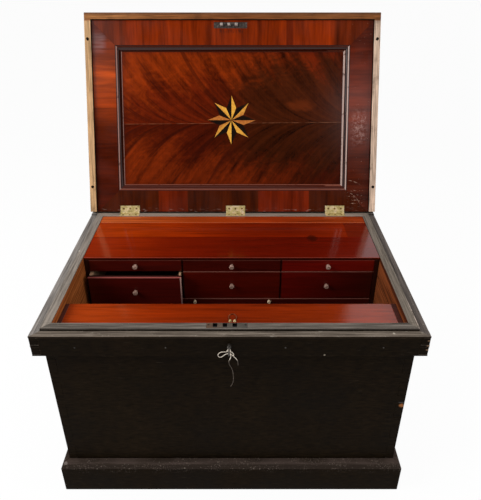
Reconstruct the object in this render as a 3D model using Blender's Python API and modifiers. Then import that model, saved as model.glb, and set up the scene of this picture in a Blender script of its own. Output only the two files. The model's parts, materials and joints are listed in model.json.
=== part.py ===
"""A joiner's tool chest, open: a nest of drawers, a well, a covered saw till and a lock in the rim.

Metres, +Z up. The origin is on the ground under the middle of the carcase. The front faces -Y.
Every piece is laid out with the lid shut and the drawers in; the last lines open the chest.
"""
import math

import bmesh
import bpy
import numpy as np
from mathutils import Matrix, Vector

# Fits
SEAT = 0.0003
RUN = 0.0006
PAST = 0.002

# Carcase
BODY_WIDTH = 0.897
BODY_DEPTH = 0.608
RIM_HEIGHT = 0.5615
WALL = 0.022
FLOOR = 0.016
WALL_TAILS = 7
SKIRT_TAILS = 2
TAIL_SHARE = 0.5
TAIL_SLOPE = 0.16

# Plinth and upper skirt
PLINTH_HEIGHT = 0.1076
PLINTH = 0.0215
CHAMFER_RISE = 0.020
CHAMFER_SET = 0.008
SKIRT_HEIGHT = 0.0585
SKIRT = 0.0215
LIP = 0.007

# Lid
LID_OPEN = math.radians(112.9)
LID_DROP = 0.009
LID_RIM = 0.0205
RIM_HOLE_RADIUS = 0.0035
RIM_HOLE_DEPTH = 0.012
RIM_HOLE_INSET = 0.082
LID_BOARD = 0.016
LID_BOARD_ROUND = 0.004
FRAME = 0.008
FRAME_SIDE_WIDTH = 0.072
FRAME_FRONT_WIDTH = 0.076
FRAME_BACK_WIDTH = 0.0695
PANEL_RECESS = 0.005

# Moulding round the lid's panel: shares of its width, and heights as shares of the bead or the recess
MOULDING_WIDTH = 0.021
MOULDING_PROUD = 0.0015
MOULDING_BEAD = ((0.1, 1.0), (0.35, 1.0))
MOULDING_HOLLOW = ((0.55, 0.35), (0.85, 0.9), (1.0, 0.9))

# Hinges: the outer ones are set in from the carcase's ends
LEFT_HINGE_INSET = 0.1075
RIGHT_HINGE_INSET = 0.1105
MIDDLE_HINGE_PLACE = 0.009
HINGE_LENGTH = 0.0635
LEAF = 0.0022
LEAF_REACH = 0.0225
PIN_SETBACK = 0.0028
PIN_RADIUS = 0.002
KNUCKLE_RADIUS = 0.0045
KNUCKLES = 5

# Nest of drawers
TILL_DEPTH = 0.2608
TILL_SET = 0.0015
TILL_BOARD = 0.008
TILL_END = 0.012
REAR_STRIP = 0.0437
DIVIDER_PLACE = 0.1435
UPPER_HEIGHT = 0.0388
LOWER_HEIGHT = 0.0957
TRAY_HEIGHT = 0.0175
DRAWER_FRONT = 0.014
DRAWER_SIDE = 0.008
DRAWER_FLOOR = 0.004
FRONT_GAP = 0.0024
DRAWER_HEADROOM = 0.0015
DRAWER_PULLED = 0.033

# Knobs, as shares of their radius and height
KNOB_RADIUS = 0.0072
KNOB_HEIGHT = 0.013
TRAY_KNOB_RADIUS = 0.0052
TRAY_KNOB_HEIGHT = 0.010
TRAY_KNOB_PLACE = 0.111
SPIGOT_SHARE = 0.4
KNOB_STEPS = 12
KNOB_PROFILE = ((0.0, 1.0), (0.74, 0.98), (0.93, 0.88), (1.0, 0.72), (0.96, 0.5), (0.5, 0.34),
                (0.47, 0.12), (0.72, 0.03), (0.72, 0.0))

# Saw till
SAW_TILL_WIDTH = 0.1142
SAW_TILL_SET = 0.0243
COVER = 0.012
COVER_OVERHANG = 0.004
COVER_CLEARANCE = 0.0015
PARTITION = 0.012
PINTLE_RADIUS = 0.004
PINTLE_LENGTH = 0.008

# Lock
LOCK_PLACE = -0.0065
LOCK_LENGTH = 0.097
LOCK_THICKNESS = 0.0142
LOCK_DEPTH = 0.055
LOCK_PLATE = 0.002
SELVEDGE = 0.0025
SELVEDGE_WIDTH = 0.0195
STAPLE_PLACES = (-0.035, -0.0115, 0.012)
STAPLE = 0.0085
STAPLE_WIDTH = 0.0074
STAPLE_DROP = 0.0145
STAPLE_EYE = 0.006
STAPLE_CLEARANCE = 0.0012
LINK_LENGTH = 0.105
LINK_WIDTH = 0.018
LINK_PLATE = 0.0022
BOLT_TRAVEL = 0.0075
BOLT_FINGER = 0.004
BOLT_REST_GAP = 0.0008
BOLT_BAR = 0.006
BOLT_BAR_TOP = 0.0185

# Key
KEY_PLACE = -0.001
KEY_DEPTH = 0.0305
SHANK_RADIUS = 0.003
BIT_REACH = 0.0055
BIT = 0.0026
STRING_ROOM = 0.0095
COLLAR = 0.003
COLLAR_RADIUS = 0.0045
BOW_RADIUS = 0.0105
BOW_WIRE = 0.002

# Twine tied on the key: how far right of and above the shank, and how far out from the skirt
TWINE = 0.0018
TWINE_ROUTE = (
    (0.0205, -0.0627, 0.0016), (0.0206, -0.0560, 0.0015), (0.0194, -0.0490, 0.0014),
    (0.0162, -0.0426, 0.0013), (0.0116, -0.0368, 0.0013), (0.0070, -0.0314, 0.0013),
    (0.0034, -0.0256, 0.0013), (0.0017, -0.0194, 0.0013), (0.0023, -0.0132, 0.0013),
    (0.0040, -0.0070, 0.0014), (0.0047, -0.0010, 0.0016), (0.0034, 0.0034, 0.0019),
    (0.0000, 0.0050, 0.0023), (-0.0034, 0.0034, 0.0027), (-0.0047, -0.0010, 0.0029),
    (-0.0039, -0.0070, 0.0028), (-0.0029, -0.0126, 0.0026), (-0.0042, -0.0176, 0.0023),
    (-0.0082, -0.0206, 0.0019), (-0.0136, -0.0208, 0.0015), (-0.0192, -0.0220, 0.0014),
    (-0.0242, -0.0252, 0.0013), (-0.0268, -0.0298, 0.0013), (-0.0260, -0.0348, 0.0013),
    (-0.0222, -0.0376, 0.0013), (-0.0179, -0.0362, 0.0013), (-0.0136, -0.0322, 0.0013),
    (-0.0086, -0.0282, 0.0013), (-0.0030, -0.0266, 0.0013), (0.0018, -0.0288, 0.0013),
    (0.0038, -0.0336, 0.0013), (0.0026, -0.0398, 0.0014), (-0.0002, -0.0466, 0.0015),
    (-0.0014, -0.0540, 0.0016), (0.0006, -0.0620, 0.0016), (0.0046, -0.0710, 0.0016),
    (0.0078, -0.0830, 0.0016), (0.0092, -0.0990, 0.0016), (0.0084, -0.1160, 0.0016),
    (0.0025, -0.1310, 0.0016),
)
TWINE_STEPS = 2

# Drop handles on the ends
HANDLE_HEIGHT = 0.345
HANDLE_PLATE = 0.003
HANDLE_PLATE_WIDTH = 0.124
HANDLE_PLATE_HEIGHT = 0.044
BAIL_RADIUS = 0.0045
BAIL_STANDOFF = 0.0066
BAIL_HALF_WIDTH = 0.068
BAIL_DROP = 0.057
BAIL_BEND = 0.011
EAR_PLACE = 0.049
EAR_WIDTH = 0.010
EAR_WALL = 0.0028

# How finely round things are faceted
ROD_SIDES = 16
PIN_SIDES = 12
WIRE_SIDES = 8
BOW_SEGMENTS = 24
KEYHOLE_STEPS = 14
EDGE_STEPS = 8
BEND_STEPS = 5
ROUND_SEGMENTS = 2
TUBE_RESOLUTION = 2
MERGE = 0.00001
SHARP_ANGLE = math.radians(35)

# Places worked out from the sizes above
HALF_WIDTH = BODY_WIDTH / 2
HALF_DEPTH = BODY_DEPTH / 2
INNER_WIDTH = HALF_WIDTH - WALL
INNER_FRONT = -HALF_DEPTH + WALL
INNER_BACK = HALF_DEPTH - WALL
SKIRT_TOP = RIM_HEIGHT - LIP
SKIRT_BOTTOM = SKIRT_TOP - SKIRT_HEIGHT
CHEST_WIDTH = HALF_WIDTH + SKIRT
CHEST_FRONT = -HALF_DEPTH - SKIRT
LID_EDGE = SKIRT_TOP + SEAT
LID_FACE = LID_EDGE + LID_DROP
FRAME_BACK = LID_FACE + FRAME
BOARD_FACE = FRAME_BACK + SEAT
BOARD_TOP = BOARD_FACE + LID_BOARD
HINGE_PLACES = {"left": LEFT_HINGE_INSET - HALF_WIDTH, "middle": MIDDLE_HINGE_PLACE,
                "right": HALF_WIDTH - RIGHT_HINGE_INSET}
PIN_Y = HALF_DEPTH + PIN_SETBACK
PIN_Z = (RIM_HEIGHT + LID_FACE) / 2
LID_INNER = CHEST_WIDTH - LID_RIM - SEAT
LID_INNER_FRONT = CHEST_FRONT + LID_RIM + SEAT
TILL_FACE = INNER_BACK - TILL_DEPTH
TILL_BACK = INNER_BACK - SEAT
TILL_TOP = RIM_HEIGHT - TILL_SET
TILL_CEILING = TILL_TOP - TILL_BOARD
SHELF_EDGE = TILL_FACE + DRAWER_FRONT + SEAT
UPPER_SHELF = TILL_CEILING - UPPER_HEIGHT
LOWER_SHELF = UPPER_SHELF - LOWER_HEIGHT
TILL_FLOOR = LOWER_SHELF - TRAY_HEIGHT
TILL_INNER = INNER_WIDTH - SEAT - TILL_END
COVER_TOP = RIM_HEIGHT - SAW_TILL_SET
COVER_BACK = INNER_FRONT + SAW_TILL_WIDTH
COVER_AXIS_Y = COVER_BACK - COVER / 2
COVER_AXIS_Z = COVER_TOP - COVER / 2
LOCK_FRONT = INNER_FRONT - LOCK_THICKNESS
CAVITY_FRONT = LOCK_FRONT + LOCK_PLATE
CAVITY_BACK = INNER_FRONT - LOCK_PLATE
LOCK_Y = (CAVITY_FRONT + CAVITY_BACK) / 2
KEY_Z = RIM_HEIGHT - KEY_DEPTH
EYE_Z = LID_FACE - STAPLE_DROP + STAPLE_EYE / 2 + STAPLE_CLEARANCE


def new_collection(name):
    collection = bpy.data.collections.new(name)
    bpy.context.scene.collection.children.link(collection)
    return collection


def new_finish(name, colour, roughness, metallic=0.0):
    finish = bpy.data.materials.new(name)
    finish.use_nodes = True
    finish.diffuse_color = (*colour, 1.0)
    shader = finish.node_tree.nodes["Principled BSDF"]
    shader.inputs["Base Color"].default_value = (*colour, 1.0)
    shader.inputs["Roughness"].default_value = roughness
    shader.inputs["Metallic"].default_value = metallic
    return finish


for old in list(bpy.data.objects):
    bpy.data.objects.remove(old, do_unlink=True)
PARTS = new_collection("tool_chest")
CUTTERS = new_collection("tool_chest_cutters")
PAINT = new_finish("black_paint", (0.012, 0.009, 0.007), 0.6)
BARE_WOOD = new_finish("bare_wood", (0.29, 0.16, 0.07), 0.7)
MAHOGANY = new_finish("polished_mahogany", (0.24, 0.03, 0.007), 0.3)
DARK_MAHOGANY = new_finish("dark_mahogany", (0.05, 0.006, 0.004), 0.3)
FIELD = new_finish("flame_mahogany", (0.11, 0.02, 0.006), 0.3)
BRASS = new_finish("brass", (0.62, 0.5, 0.25), 0.35, 1.0)
IRON = new_finish("iron", (0.05, 0.045, 0.04), 0.5, 1.0)
BONE = new_finish("bone", (0.42, 0.33, 0.26), 0.4)
COTTON = new_finish("cotton_twine", (0.78, 0.74, 0.66), 0.9)


def link(piece, finish, origin, carrier):
    """Put a piece in its collection, at its origin, on what carries it. A cutter has no finish."""
    piece.location = Vector(origin)
    if carrier is not None:
        piece.location -= carrier.location
        piece.parent = carrier
    if finish is None:
        piece.hide_render = True
        piece.display_type = "WIRE"
        CUTTERS.objects.link(piece)
    else:
        piece.data.materials.append(finish)
        PARTS.objects.link(piece)
    return piece


def solid(name, bm, finish=None, origin=(0.0, 0.0, 0.0), carrier=None):
    """Turn a bmesh, laid out in the chest's frame, into an object with its own origin."""
    bmesh.ops.translate(bm, verts=bm.verts, vec=-Vector(origin))
    bmesh.ops.recalc_face_normals(bm, faces=bm.faces)
    mesh = bpy.data.meshes.new(name)
    bm.to_mesh(mesh)
    bm.free()
    mesh.shade_smooth()
    mesh.set_sharp_from_angle(angle=SHARP_ANGLE)
    return link(bpy.data.objects.new(name, mesh), finish, origin, carrier)


def pivot(name, place):
    """An empty on a joint's axis, which carries the pieces that move."""
    axis = bpy.data.objects.new(name, None)
    axis.location = place
    PARTS.objects.link(axis)
    return axis


def add_block(bm, low, high):
    low = Vector(low)
    high = Vector(high)
    size = high - low
    place = Matrix.Translation((low + high) / 2) @ Matrix.Diagonal((*size, 1.0))
    return bmesh.ops.create_cube(bm, size=1.0, matrix=place)["verts"]


def add_rod(bm, start, end, radius, sides=ROD_SIDES):
    start = Vector(start)
    along = Vector(end) - start
    place = Matrix.Translation(start + along / 2) @ along.to_track_quat("Z", "Y").to_matrix().to_4x4()
    bmesh.ops.create_cone(bm, cap_ends=True, segments=sides, radius1=radius, radius2=radius,
                          depth=along.length, matrix=place)


def add_prism(bm, outline, start, end, along_y=False):
    """Extrude an outline along X, given as (y, z), or along Y, given as (x, z)."""
    if along_y:
        corners = [bm.verts.new((a, start, b)) for a, b in outline]
        step = Vector((0.0, end - start, 0.0))
    else:
        corners = [bm.verts.new((start, a, b)) for a, b in outline]
        step = Vector((end - start, 0.0, 0.0))
    made = bmesh.ops.extrude_face_region(bm, geom=[bm.faces.new(corners)], use_keep_orig=True)
    top = [item for item in made["geom"] if isinstance(item, bmesh.types.BMVert)]
    bmesh.ops.translate(bm, verts=top, vec=step)


def board(name, low, high, finish=None, carrier=None):
    bm = bmesh.new()
    add_block(bm, low, high)
    return solid(name, bm, finish, (Vector(low) + Vector(high)) / 2, carrier)


def blocks(name, boxes, carrier=None):
    """A cutter of separate boxes."""
    bm = bmesh.new()
    for low, high in boxes:
        add_block(bm, low, high)
    return solid(name, bm, carrier=carrier)


def rods(name, ends, radius, carrier=None, sides=ROD_SIDES):
    """A cutter of separate rods."""
    bm = bmesh.new()
    for start, end in ends:
        add_rod(bm, start, end, radius, sides)
    return solid(name, bm, carrier=carrier)


def boolean(piece, tool, operation="DIFFERENCE"):
    step = piece.modifiers.new(tool.name, "BOOLEAN")
    step.operation = operation
    step.solver = "EXACT"
    step.object = tool


def arc(centre, radius, start, end, steps):
    """Points on an arc, from one angle in degrees to another."""
    angles = [math.radians(start + (end - start) * step / steps) for step in range(steps + 1)]
    return [(centre[0] + radius * math.cos(a), centre[1] + radius * math.sin(a)) for a in angles]


def tail_rows(low, high, count):
    """The middle heights of a row of dovetails, and the half width of a tail at its shoulder."""
    pitch = (high - low) / count
    return [low + pitch * (row + 0.5) for row in range(count)], pitch * TAIL_SHARE / 2


def tailed_board(name, finish, inner, outer, front, back, mate, low, high, count):
    """A side board whose tails pass through its front and back mates."""
    rows, half = tail_rows(low, high, count)
    front_shoulder = front + mate + SEAT
    back_shoulder = back - mate - SEAT
    spread = TAIL_SLOPE * (mate + SEAT)
    outline = [(front_shoulder, low)]
    for row in rows:
        outline += [(front_shoulder, row - half), (front, row - half - spread)]
        outline += [(front, row + half + spread), (front_shoulder, row + half)]
    outline += [(front_shoulder, high), (back_shoulder, high)]
    for row in reversed(rows):
        outline += [(back_shoulder, row + half), (back, row + half + spread)]
        outline += [(back, row - half - spread), (back_shoulder, row - half)]
    outline.append((back_shoulder, low))
    bm = bmesh.new()
    add_prism(bm, outline, inner, outer)
    return solid(name, bm, finish, ((inner + outer) / 2, 0.0, (low + high) / 2))


def cut_sockets(piece, inner, outer, face, mate, low, high, count):
    """Open the sockets at both ends of a board, for the tails of the side boards."""
    inward = math.copysign(1.0, -face)
    rows, half = tail_rows(low, high, count)
    deep = face + inward * (mate + SEAT + PAST)
    proud = face - inward * PAST
    deep_half = half + SEAT - TAIL_SLOPE * PAST
    proud_half = half + SEAT + TAIL_SLOPE * (mate + SEAT + PAST)
    bm = bmesh.new()
    for side in (-1, 1):
        for row in rows:
            outline = [(deep, row - deep_half), (proud, row - proud_half),
                       (proud, row + proud_half), (deep, row + deep_half)]
            add_prism(bm, outline, side * (inner - SEAT), side * (outer + PAST))
    boolean(piece, solid(piece.name + "_sockets", bm))


def keyhole(name, start, end):
    """The round hole for the shank with the slot below it for the bit."""
    radius = SHANK_RADIUS + RUN
    half_slot = BIT / 2 + RUN
    slot_angle = math.degrees(math.asin(half_slot / radius))
    outline = arc((KEY_PLACE, KEY_Z), radius, slot_angle - 90, 270 - slot_angle, KEYHOLE_STEPS)
    outline.append((KEY_PLACE - half_slot, KEY_Z - BIT_REACH - RUN))
    outline.append((KEY_PLACE + half_slot, KEY_Z - BIT_REACH - RUN))
    bm = bmesh.new()
    add_prism(bm, outline, start, end, along_y=True)
    return solid(name, bm)


def make_carcase():
    low = FLOOR + SEAT
    board("floor", (-HALF_WIDTH, -HALF_DEPTH, 0.0), (HALF_WIDTH, HALF_DEPTH, FLOOR), BARE_WOOD)
    front = board("front_wall", (-HALF_WIDTH, -HALF_DEPTH, low), (HALF_WIDTH, INNER_FRONT, RIM_HEIGHT), PAINT)
    back = board("back_wall", (-HALF_WIDTH, INNER_BACK, low), (HALF_WIDTH, HALF_DEPTH, RIM_HEIGHT), PAINT)
    for wall, face in ((front, -HALF_DEPTH), (back, HALF_DEPTH)):
        cut_sockets(wall, INNER_WIDTH, HALF_WIDTH, face, WALL, low, RIM_HEIGHT, WALL_TAILS)
    for name, side in (("left", -1), ("right", 1)):
        wall = tailed_board(name + "_wall", PAINT, side * INNER_WIDTH, side * HALF_WIDTH,
                            -HALF_DEPTH, HALF_DEPTH, WALL, low, RIM_HEIGHT, WALL_TAILS)
        bore = ((side * (INNER_WIDTH - PAST), COVER_AXIS_Y, COVER_AXIS_Z),
                (side * (INNER_WIDTH + PINTLE_LENGTH), COVER_AXIS_Y, COVER_AXIS_Z))
        boolean(wall, rods(name + "_pintle_bore", [bore], PINTLE_RADIUS + RUN))
    return front, back


def make_plinth():
    out = PLINTH - SEAT
    outline = [(0.0, 0.0), (out, 0.0), (out, PLINTH_HEIGHT - CHAMFER_RISE),
               (out - CHAMFER_SET, PLINTH_HEIGHT), (0.0, PLINTH_HEIGHT)]
    sides = (("front", 0, HALF_WIDTH, HALF_DEPTH), ("right", 90, HALF_DEPTH, HALF_WIDTH),
             ("back", 180, HALF_WIDTH, HALF_DEPTH), ("left", 270, HALF_DEPTH, HALF_WIDTH))
    for name, turn, half, reach in sides:
        bm = bmesh.new()
        add_prism(bm, [(-away, height) for away, height in outline], -half, half)
        for corner in bm.verts:
            corner.co.x += math.copysign(corner.co.y, corner.co.x)
        place = Matrix.Rotation(math.radians(turn), 4, "Z") @ Matrix.Translation((0.0, -reach - SEAT, 0.0))
        bmesh.ops.transform(bm, matrix=place, verts=bm.verts)
        solid("plinth_" + name, bm, PAINT)


def lid_stop_height():
    """How high the back skirt's outer edge may stand under the rear edge of the open lid."""
    along = (SKIRT + PIN_SETBACK * math.cos(LID_OPEN) - PIN_SETBACK) / math.sin(LID_OPEN)
    return PIN_Z + PIN_SETBACK * math.sin(LID_OPEN) + along * math.cos(LID_OPEN) - 2 * SEAT


def make_skirt():
    mate = SKIRT - SEAT
    for name, face, top in (("front", CHEST_FRONT, SKIRT_TOP), ("back", -CHEST_FRONT, lid_stop_height())):
        inner = math.copysign(HALF_DEPTH + SEAT, face)
        low = (-CHEST_WIDTH, min(face, inner), SKIRT_BOTTOM)
        high = (CHEST_WIDTH, max(face, inner), top)
        strip = board("skirt_" + name, low, high, PAINT)
        cut_sockets(strip, HALF_WIDTH + SEAT, CHEST_WIDTH, face, mate, SKIRT_BOTTOM, SKIRT_TOP, SKIRT_TAILS)
        if name == "front":
            boolean(strip, keyhole("skirt_keyhole", CHEST_FRONT - PAST, -HALF_DEPTH + PAST))
    for name, side in (("left", -1), ("right", 1)):
        tailed_board("skirt_" + name, PAINT, side * (HALF_WIDTH + SEAT), side * CHEST_WIDTH,
                     CHEST_FRONT, -CHEST_FRONT, mate, SKIRT_BOTTOM, SKIRT_TOP, SKIRT_TAILS)


def leaf_outline(mirror, grow):
    """The hollow that takes a hinge leaf and its knuckles, in side view."""
    reach = PIN_Y - LEAF_REACH - grow
    step = PIN_Y - KNUCKLE_RADIUS - RUN - grow
    face = RIM_HEIGHT + PAST
    outline = [(reach, face), (reach, RIM_HEIGHT - LEAF - grow), (step, RIM_HEIGHT - LEAF - grow),
               (step, PIN_Z - KNUCKLE_RADIUS - grow), (HALF_DEPTH + PAST, PIN_Z - KNUCKLE_RADIUS - grow),
               (HALF_DEPTH + PAST, face)]
    if mirror:
        return [(y, 2 * PIN_Z - z) for y, z in outline]
    return outline


def make_hinge(name, place, axis, back_wall, frame):
    start = place - HINGE_LENGTH / 2
    pitch = HINGE_LENGTH / KNUCKLES
    step = PIN_Y - KNUCKLE_RADIUS - RUN
    for part, mirror, carrier, host in (("carcase", False, None, back_wall), ("lid", True, axis, frame)):
        label = f"hinge_{name}_{part}_leaf"
        low, high = RIM_HEIGHT - LEAF, RIM_HEIGHT
        if mirror:
            low, high = 2 * PIN_Z - high, 2 * PIN_Z - low
        leaf = board(label, (start, PIN_Y - LEAF_REACH, low), (start + HINGE_LENGTH, step, high),
                     BRASS, carrier)
        own = range(1 if mirror else 0, KNUCKLES, 2)
        spans = [(start + pitch * k + RUN / 2, start + pitch * (k + 1) - RUN / 2) for k in own]
        tongues = [((a, step - PAST, low + SEAT), (b, PIN_Y, high - SEAT)) for a, b in spans]
        boolean(leaf, blocks(label + "_tongues", tongues, carrier), "UNION")
        barrels = [((a, PIN_Y, PIN_Z), (b, PIN_Y, PIN_Z)) for a, b in spans]
        boolean(leaf, rods(label + "_barrels", barrels, KNUCKLE_RADIUS, carrier), "UNION")
        if mirror:
            bore = ((start, PIN_Y, PIN_Z), (start + HINGE_LENGTH, PIN_Y, PIN_Z))
            boolean(leaf, rods(label + "_bore", [bore], PIN_RADIUS + RUN, carrier, PIN_SIDES))
        else:
            pin = ((start + pitch / 2, PIN_Y, PIN_Z), (start + HINGE_LENGTH - pitch / 2, PIN_Y, PIN_Z))
            boolean(leaf, rods(label + "_pin", [pin], PIN_RADIUS, carrier, PIN_SIDES), "UNION")
        bm = bmesh.new()
        add_prism(bm, leaf_outline(mirror, SEAT), start - SEAT, start + HINGE_LENGTH + SEAT)
        boolean(host, solid(label + "_bed", bm, carrier=carrier))


def make_lid(axis):
    board_low = (-CHEST_WIDTH, CHEST_FRONT, BOARD_FACE)
    board_high = (CHEST_WIDTH, HALF_DEPTH, BOARD_TOP)
    bm = bmesh.new()
    add_block(bm, board_low, board_high)
    top_edges = [edge for edge in bm.edges if min(v.co.z for v in edge.verts) > BOARD_TOP - SEAT
                 and min(v.co.y for v in edge.verts) < HALF_DEPTH - SEAT]
    bmesh.ops.bevel(bm, geom=top_edges, offset=LID_BOARD_ROUND, segments=ROUND_SEGMENTS, profile=0.5,
                    affect="EDGES")
    solid("lid_board", bm, PAINT, carrier=axis)

    side_front = CHEST_FRONT + LID_RIM + SEAT
    board("lid_rim_front", (-CHEST_WIDTH, CHEST_FRONT, LID_EDGE),
          (CHEST_WIDTH, CHEST_FRONT + LID_RIM, FRAME_BACK), BARE_WOOD, axis)
    for name, side in (("left", -1), ("right", 1)):
        middle = side * (CHEST_WIDTH - LID_RIM / 2)
        rim = board(f"lid_rim_{name}", (middle - LID_RIM / 2, side_front, LID_EDGE),
                    (middle + LID_RIM / 2, HALF_DEPTH, FRAME_BACK), BARE_WOOD, axis)
        holes = [((middle, place, LID_EDGE - PAST), (middle, place, LID_EDGE + RIM_HOLE_DEPTH))
                 for place in (CHEST_FRONT + RIM_HOLE_INSET, HALF_DEPTH - RIM_HOLE_INSET)]
        boolean(rim, rods(f"lid_rim_{name}_holes", holes, RIM_HOLE_RADIUS, axis, PIN_SIDES))

    section = [(False, 0.0, LID_FACE), (True, 0.0, LID_FACE)]
    for share, rise in MOULDING_BEAD:
        section.append((True, share * MOULDING_WIDTH, LID_FACE - rise * MOULDING_PROUD))
    for share, fall in MOULDING_HOLLOW:
        section.append((True, share * MOULDING_WIDTH, LID_FACE + fall * PANEL_RECESS))
    section += [(True, MOULDING_WIDTH, FRAME_BACK), (False, 0.0, FRAME_BACK)]
    frame = mitred_frame("lid_frame", section, axis)
    inset = MOULDING_WIDTH + SEAT
    half = LID_INNER - FRAME_SIDE_WIDTH - inset
    board("lid_panel", (-half, LID_INNER_FRONT + FRAME_FRONT_WIDTH + inset, LID_FACE + PANEL_RECESS),
          (half, HALF_DEPTH - FRAME_BACK_WIDTH - inset, FRAME_BACK), FIELD, axis)
    return frame


def mitred_frame(name, section, axis):
    """The lid's frame. Its section tells whether a point is past the flat, how far in, and how high."""
    bm = bmesh.new()
    rings = []
    for side, edge, inward, width in ((-1, LID_INNER_FRONT, 1, FRAME_FRONT_WIDTH),
                                      (1, LID_INNER_FRONT, 1, FRAME_FRONT_WIDTH),
                                      (1, HALF_DEPTH, -1, FRAME_BACK_WIDTH),
                                      (-1, HALF_DEPTH, -1, FRAME_BACK_WIDTH)):
        rings.append([bm.verts.new((side * (LID_INNER - past * FRAME_SIDE_WIDTH - inset),
                                    edge + inward * (past * width + inset), height))
                      for past, inset, height in section])
    for corner, ring in enumerate(rings):
        following = rings[(corner + 1) % len(rings)]
        for point in range(len(section)):
            after = (point + 1) % len(section)
            bm.faces.new((ring[point], ring[after], following[after], following[point]))
    return solid(name, bm, MAHOGANY, carrier=axis)


def make_nest():
    end_low = TILL_FLOOR - TILL_BOARD
    half_lap = (SHELF_EDGE + TILL_BACK) / 2
    shelf_half = TILL_INNER - SEAT
    strip_front = INNER_BACK - REAR_STRIP
    board("till_top", (SEAT - INNER_WIDTH, TILL_FACE, TILL_CEILING),
          (INNER_WIDTH - SEAT, strip_front - SEAT, TILL_TOP), MAHOGANY)
    board("till_rear_strip", (SEAT - INNER_WIDTH, strip_front, TILL_CEILING),
          (INNER_WIDTH - SEAT, TILL_BACK, TILL_TOP), MAHOGANY)
    board("till_end_left", (SEAT - INNER_WIDTH, TILL_FACE, end_low),
          (-TILL_INNER, TILL_BACK, TILL_CEILING - SEAT), DARK_MAHOGANY)
    board("till_end_right", (TILL_INNER, TILL_FACE, end_low),
          (INNER_WIDTH - SEAT, TILL_BACK, TILL_CEILING - SEAT), DARK_MAHOGANY)
    board("till_bottom", (-shelf_half, TILL_FACE, end_low), (shelf_half, TILL_BACK, TILL_FLOOR),
          DARK_MAHOGANY)
    shelves = {}
    for name, height in (("upper", UPPER_SHELF), ("lower", LOWER_SHELF)):
        shelves[name] = board("till_shelf_" + name, (-shelf_half, SHELF_EDGE, height - TILL_BOARD / 2),
                              (shelf_half, TILL_BACK, height + TILL_BOARD / 2), DARK_MAHOGANY)
    slot = TILL_BOARD / 2 + SEAT
    for name, place in (("left", -DIVIDER_PLACE), ("right", DIVIDER_PLACE)):
        divider = board("till_divider_" + name,
                        (place - TILL_BOARD / 2, SHELF_EDGE, LOWER_SHELF + TILL_BOARD / 2 + SEAT),
                        (place + TILL_BOARD / 2, TILL_BACK, TILL_CEILING - SEAT), DARK_MAHOGANY)
        notch = board(f"divider_{name}_notch", (place - slot, SHELF_EDGE - PAST, UPPER_SHELF - slot),
                      (place + slot, half_lap + SEAT, UPPER_SHELF + slot))
        boolean(divider, notch)
        notch = board(f"shelf_{name}_notch", (place - slot, half_lap - SEAT, UPPER_SHELF - TILL_BOARD),
                      (place + slot, TILL_BACK + PAST, UPPER_SHELF + TILL_BOARD))
        boolean(shelves["upper"], notch)


def make_knob(name, place, radius, height, carrier):
    """A turned knob whose spigot goes into the drawer front."""
    profile = [(radius * r, height * h) for r, h in KNOB_PROFILE]
    profile = [(r, h + SEAT) for r, h in profile]
    spigot = SPIGOT_SHARE * radius
    profile += [(spigot, SEAT), (spigot, -DRAWER_FRONT + PAST), (0.0, -DRAWER_FRONT + PAST)]
    mesh = bpy.data.meshes.new(name)
    mesh.from_pydata([(r, 0.0, h) for r, h in profile], [(i, i + 1) for i in range(len(profile) - 1)], [])
    knob = link(bpy.data.objects.new(name, mesh), BONE, place, carrier)
    knob.rotation_euler.x = math.radians(90)
    turn = knob.modifiers.new("turned", "SCREW")
    turn.steps = turn.render_steps = KNOB_STEPS
    turn.use_merge_vertices = True
    turn.merge_threshold = MERGE
    return knob


def make_drawer(name, sides, levels, front_sides, front_levels, knobs, knob_radius, knob_height):
    """A drawer with a lapped front; sides and levels are what it runs between. Returns its carrier."""
    middle = (front_levels[0] + front_levels[1]) / 2
    carrier = pivot(name + "_slide", (sum(front_sides) / 2, TILL_FACE, middle))
    back_of_front = TILL_FACE + DRAWER_FRONT
    left, right = sides[0] + RUN, sides[1] - RUN
    low, high = levels[0] + SEAT, levels[1] - DRAWER_HEADROOM
    back = TILL_BACK - PAST
    drawer = board(name, (left, back_of_front - PAST, low), (right, back, high), DARK_MAHOGANY, carrier)
    gap = FRONT_GAP / 2
    front = board(name + "_front", (front_sides[0] + gap, TILL_FACE, front_levels[0] + gap),
                  (front_sides[1] - gap, back_of_front, front_levels[1] - gap), carrier=carrier)
    boolean(drawer, front, "UNION")
    inside = board(name + "_inside", (left + DRAWER_SIDE, back_of_front, low + DRAWER_FLOOR),
                   (right - DRAWER_SIDE, back - DRAWER_SIDE, high + PAST), carrier=carrier)
    boolean(drawer, inside)
    bores = [((x, TILL_FACE - PAST, middle), (x, back_of_front + PAST, middle)) for x in knobs]
    boolean(drawer, rods(name + "_bores", bores, SPIGOT_SHARE * knob_radius + SEAT, carrier, KNOB_STEPS))
    for number, x in enumerate(knobs):
        suffix = ("_left", "_right")[number] if len(knobs) > 1 else ""
        make_knob(f"knob_{name.removeprefix('drawer_')}{suffix}", (x, TILL_FACE, middle),
                  knob_radius, knob_height, carrier)
    return carrier


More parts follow.
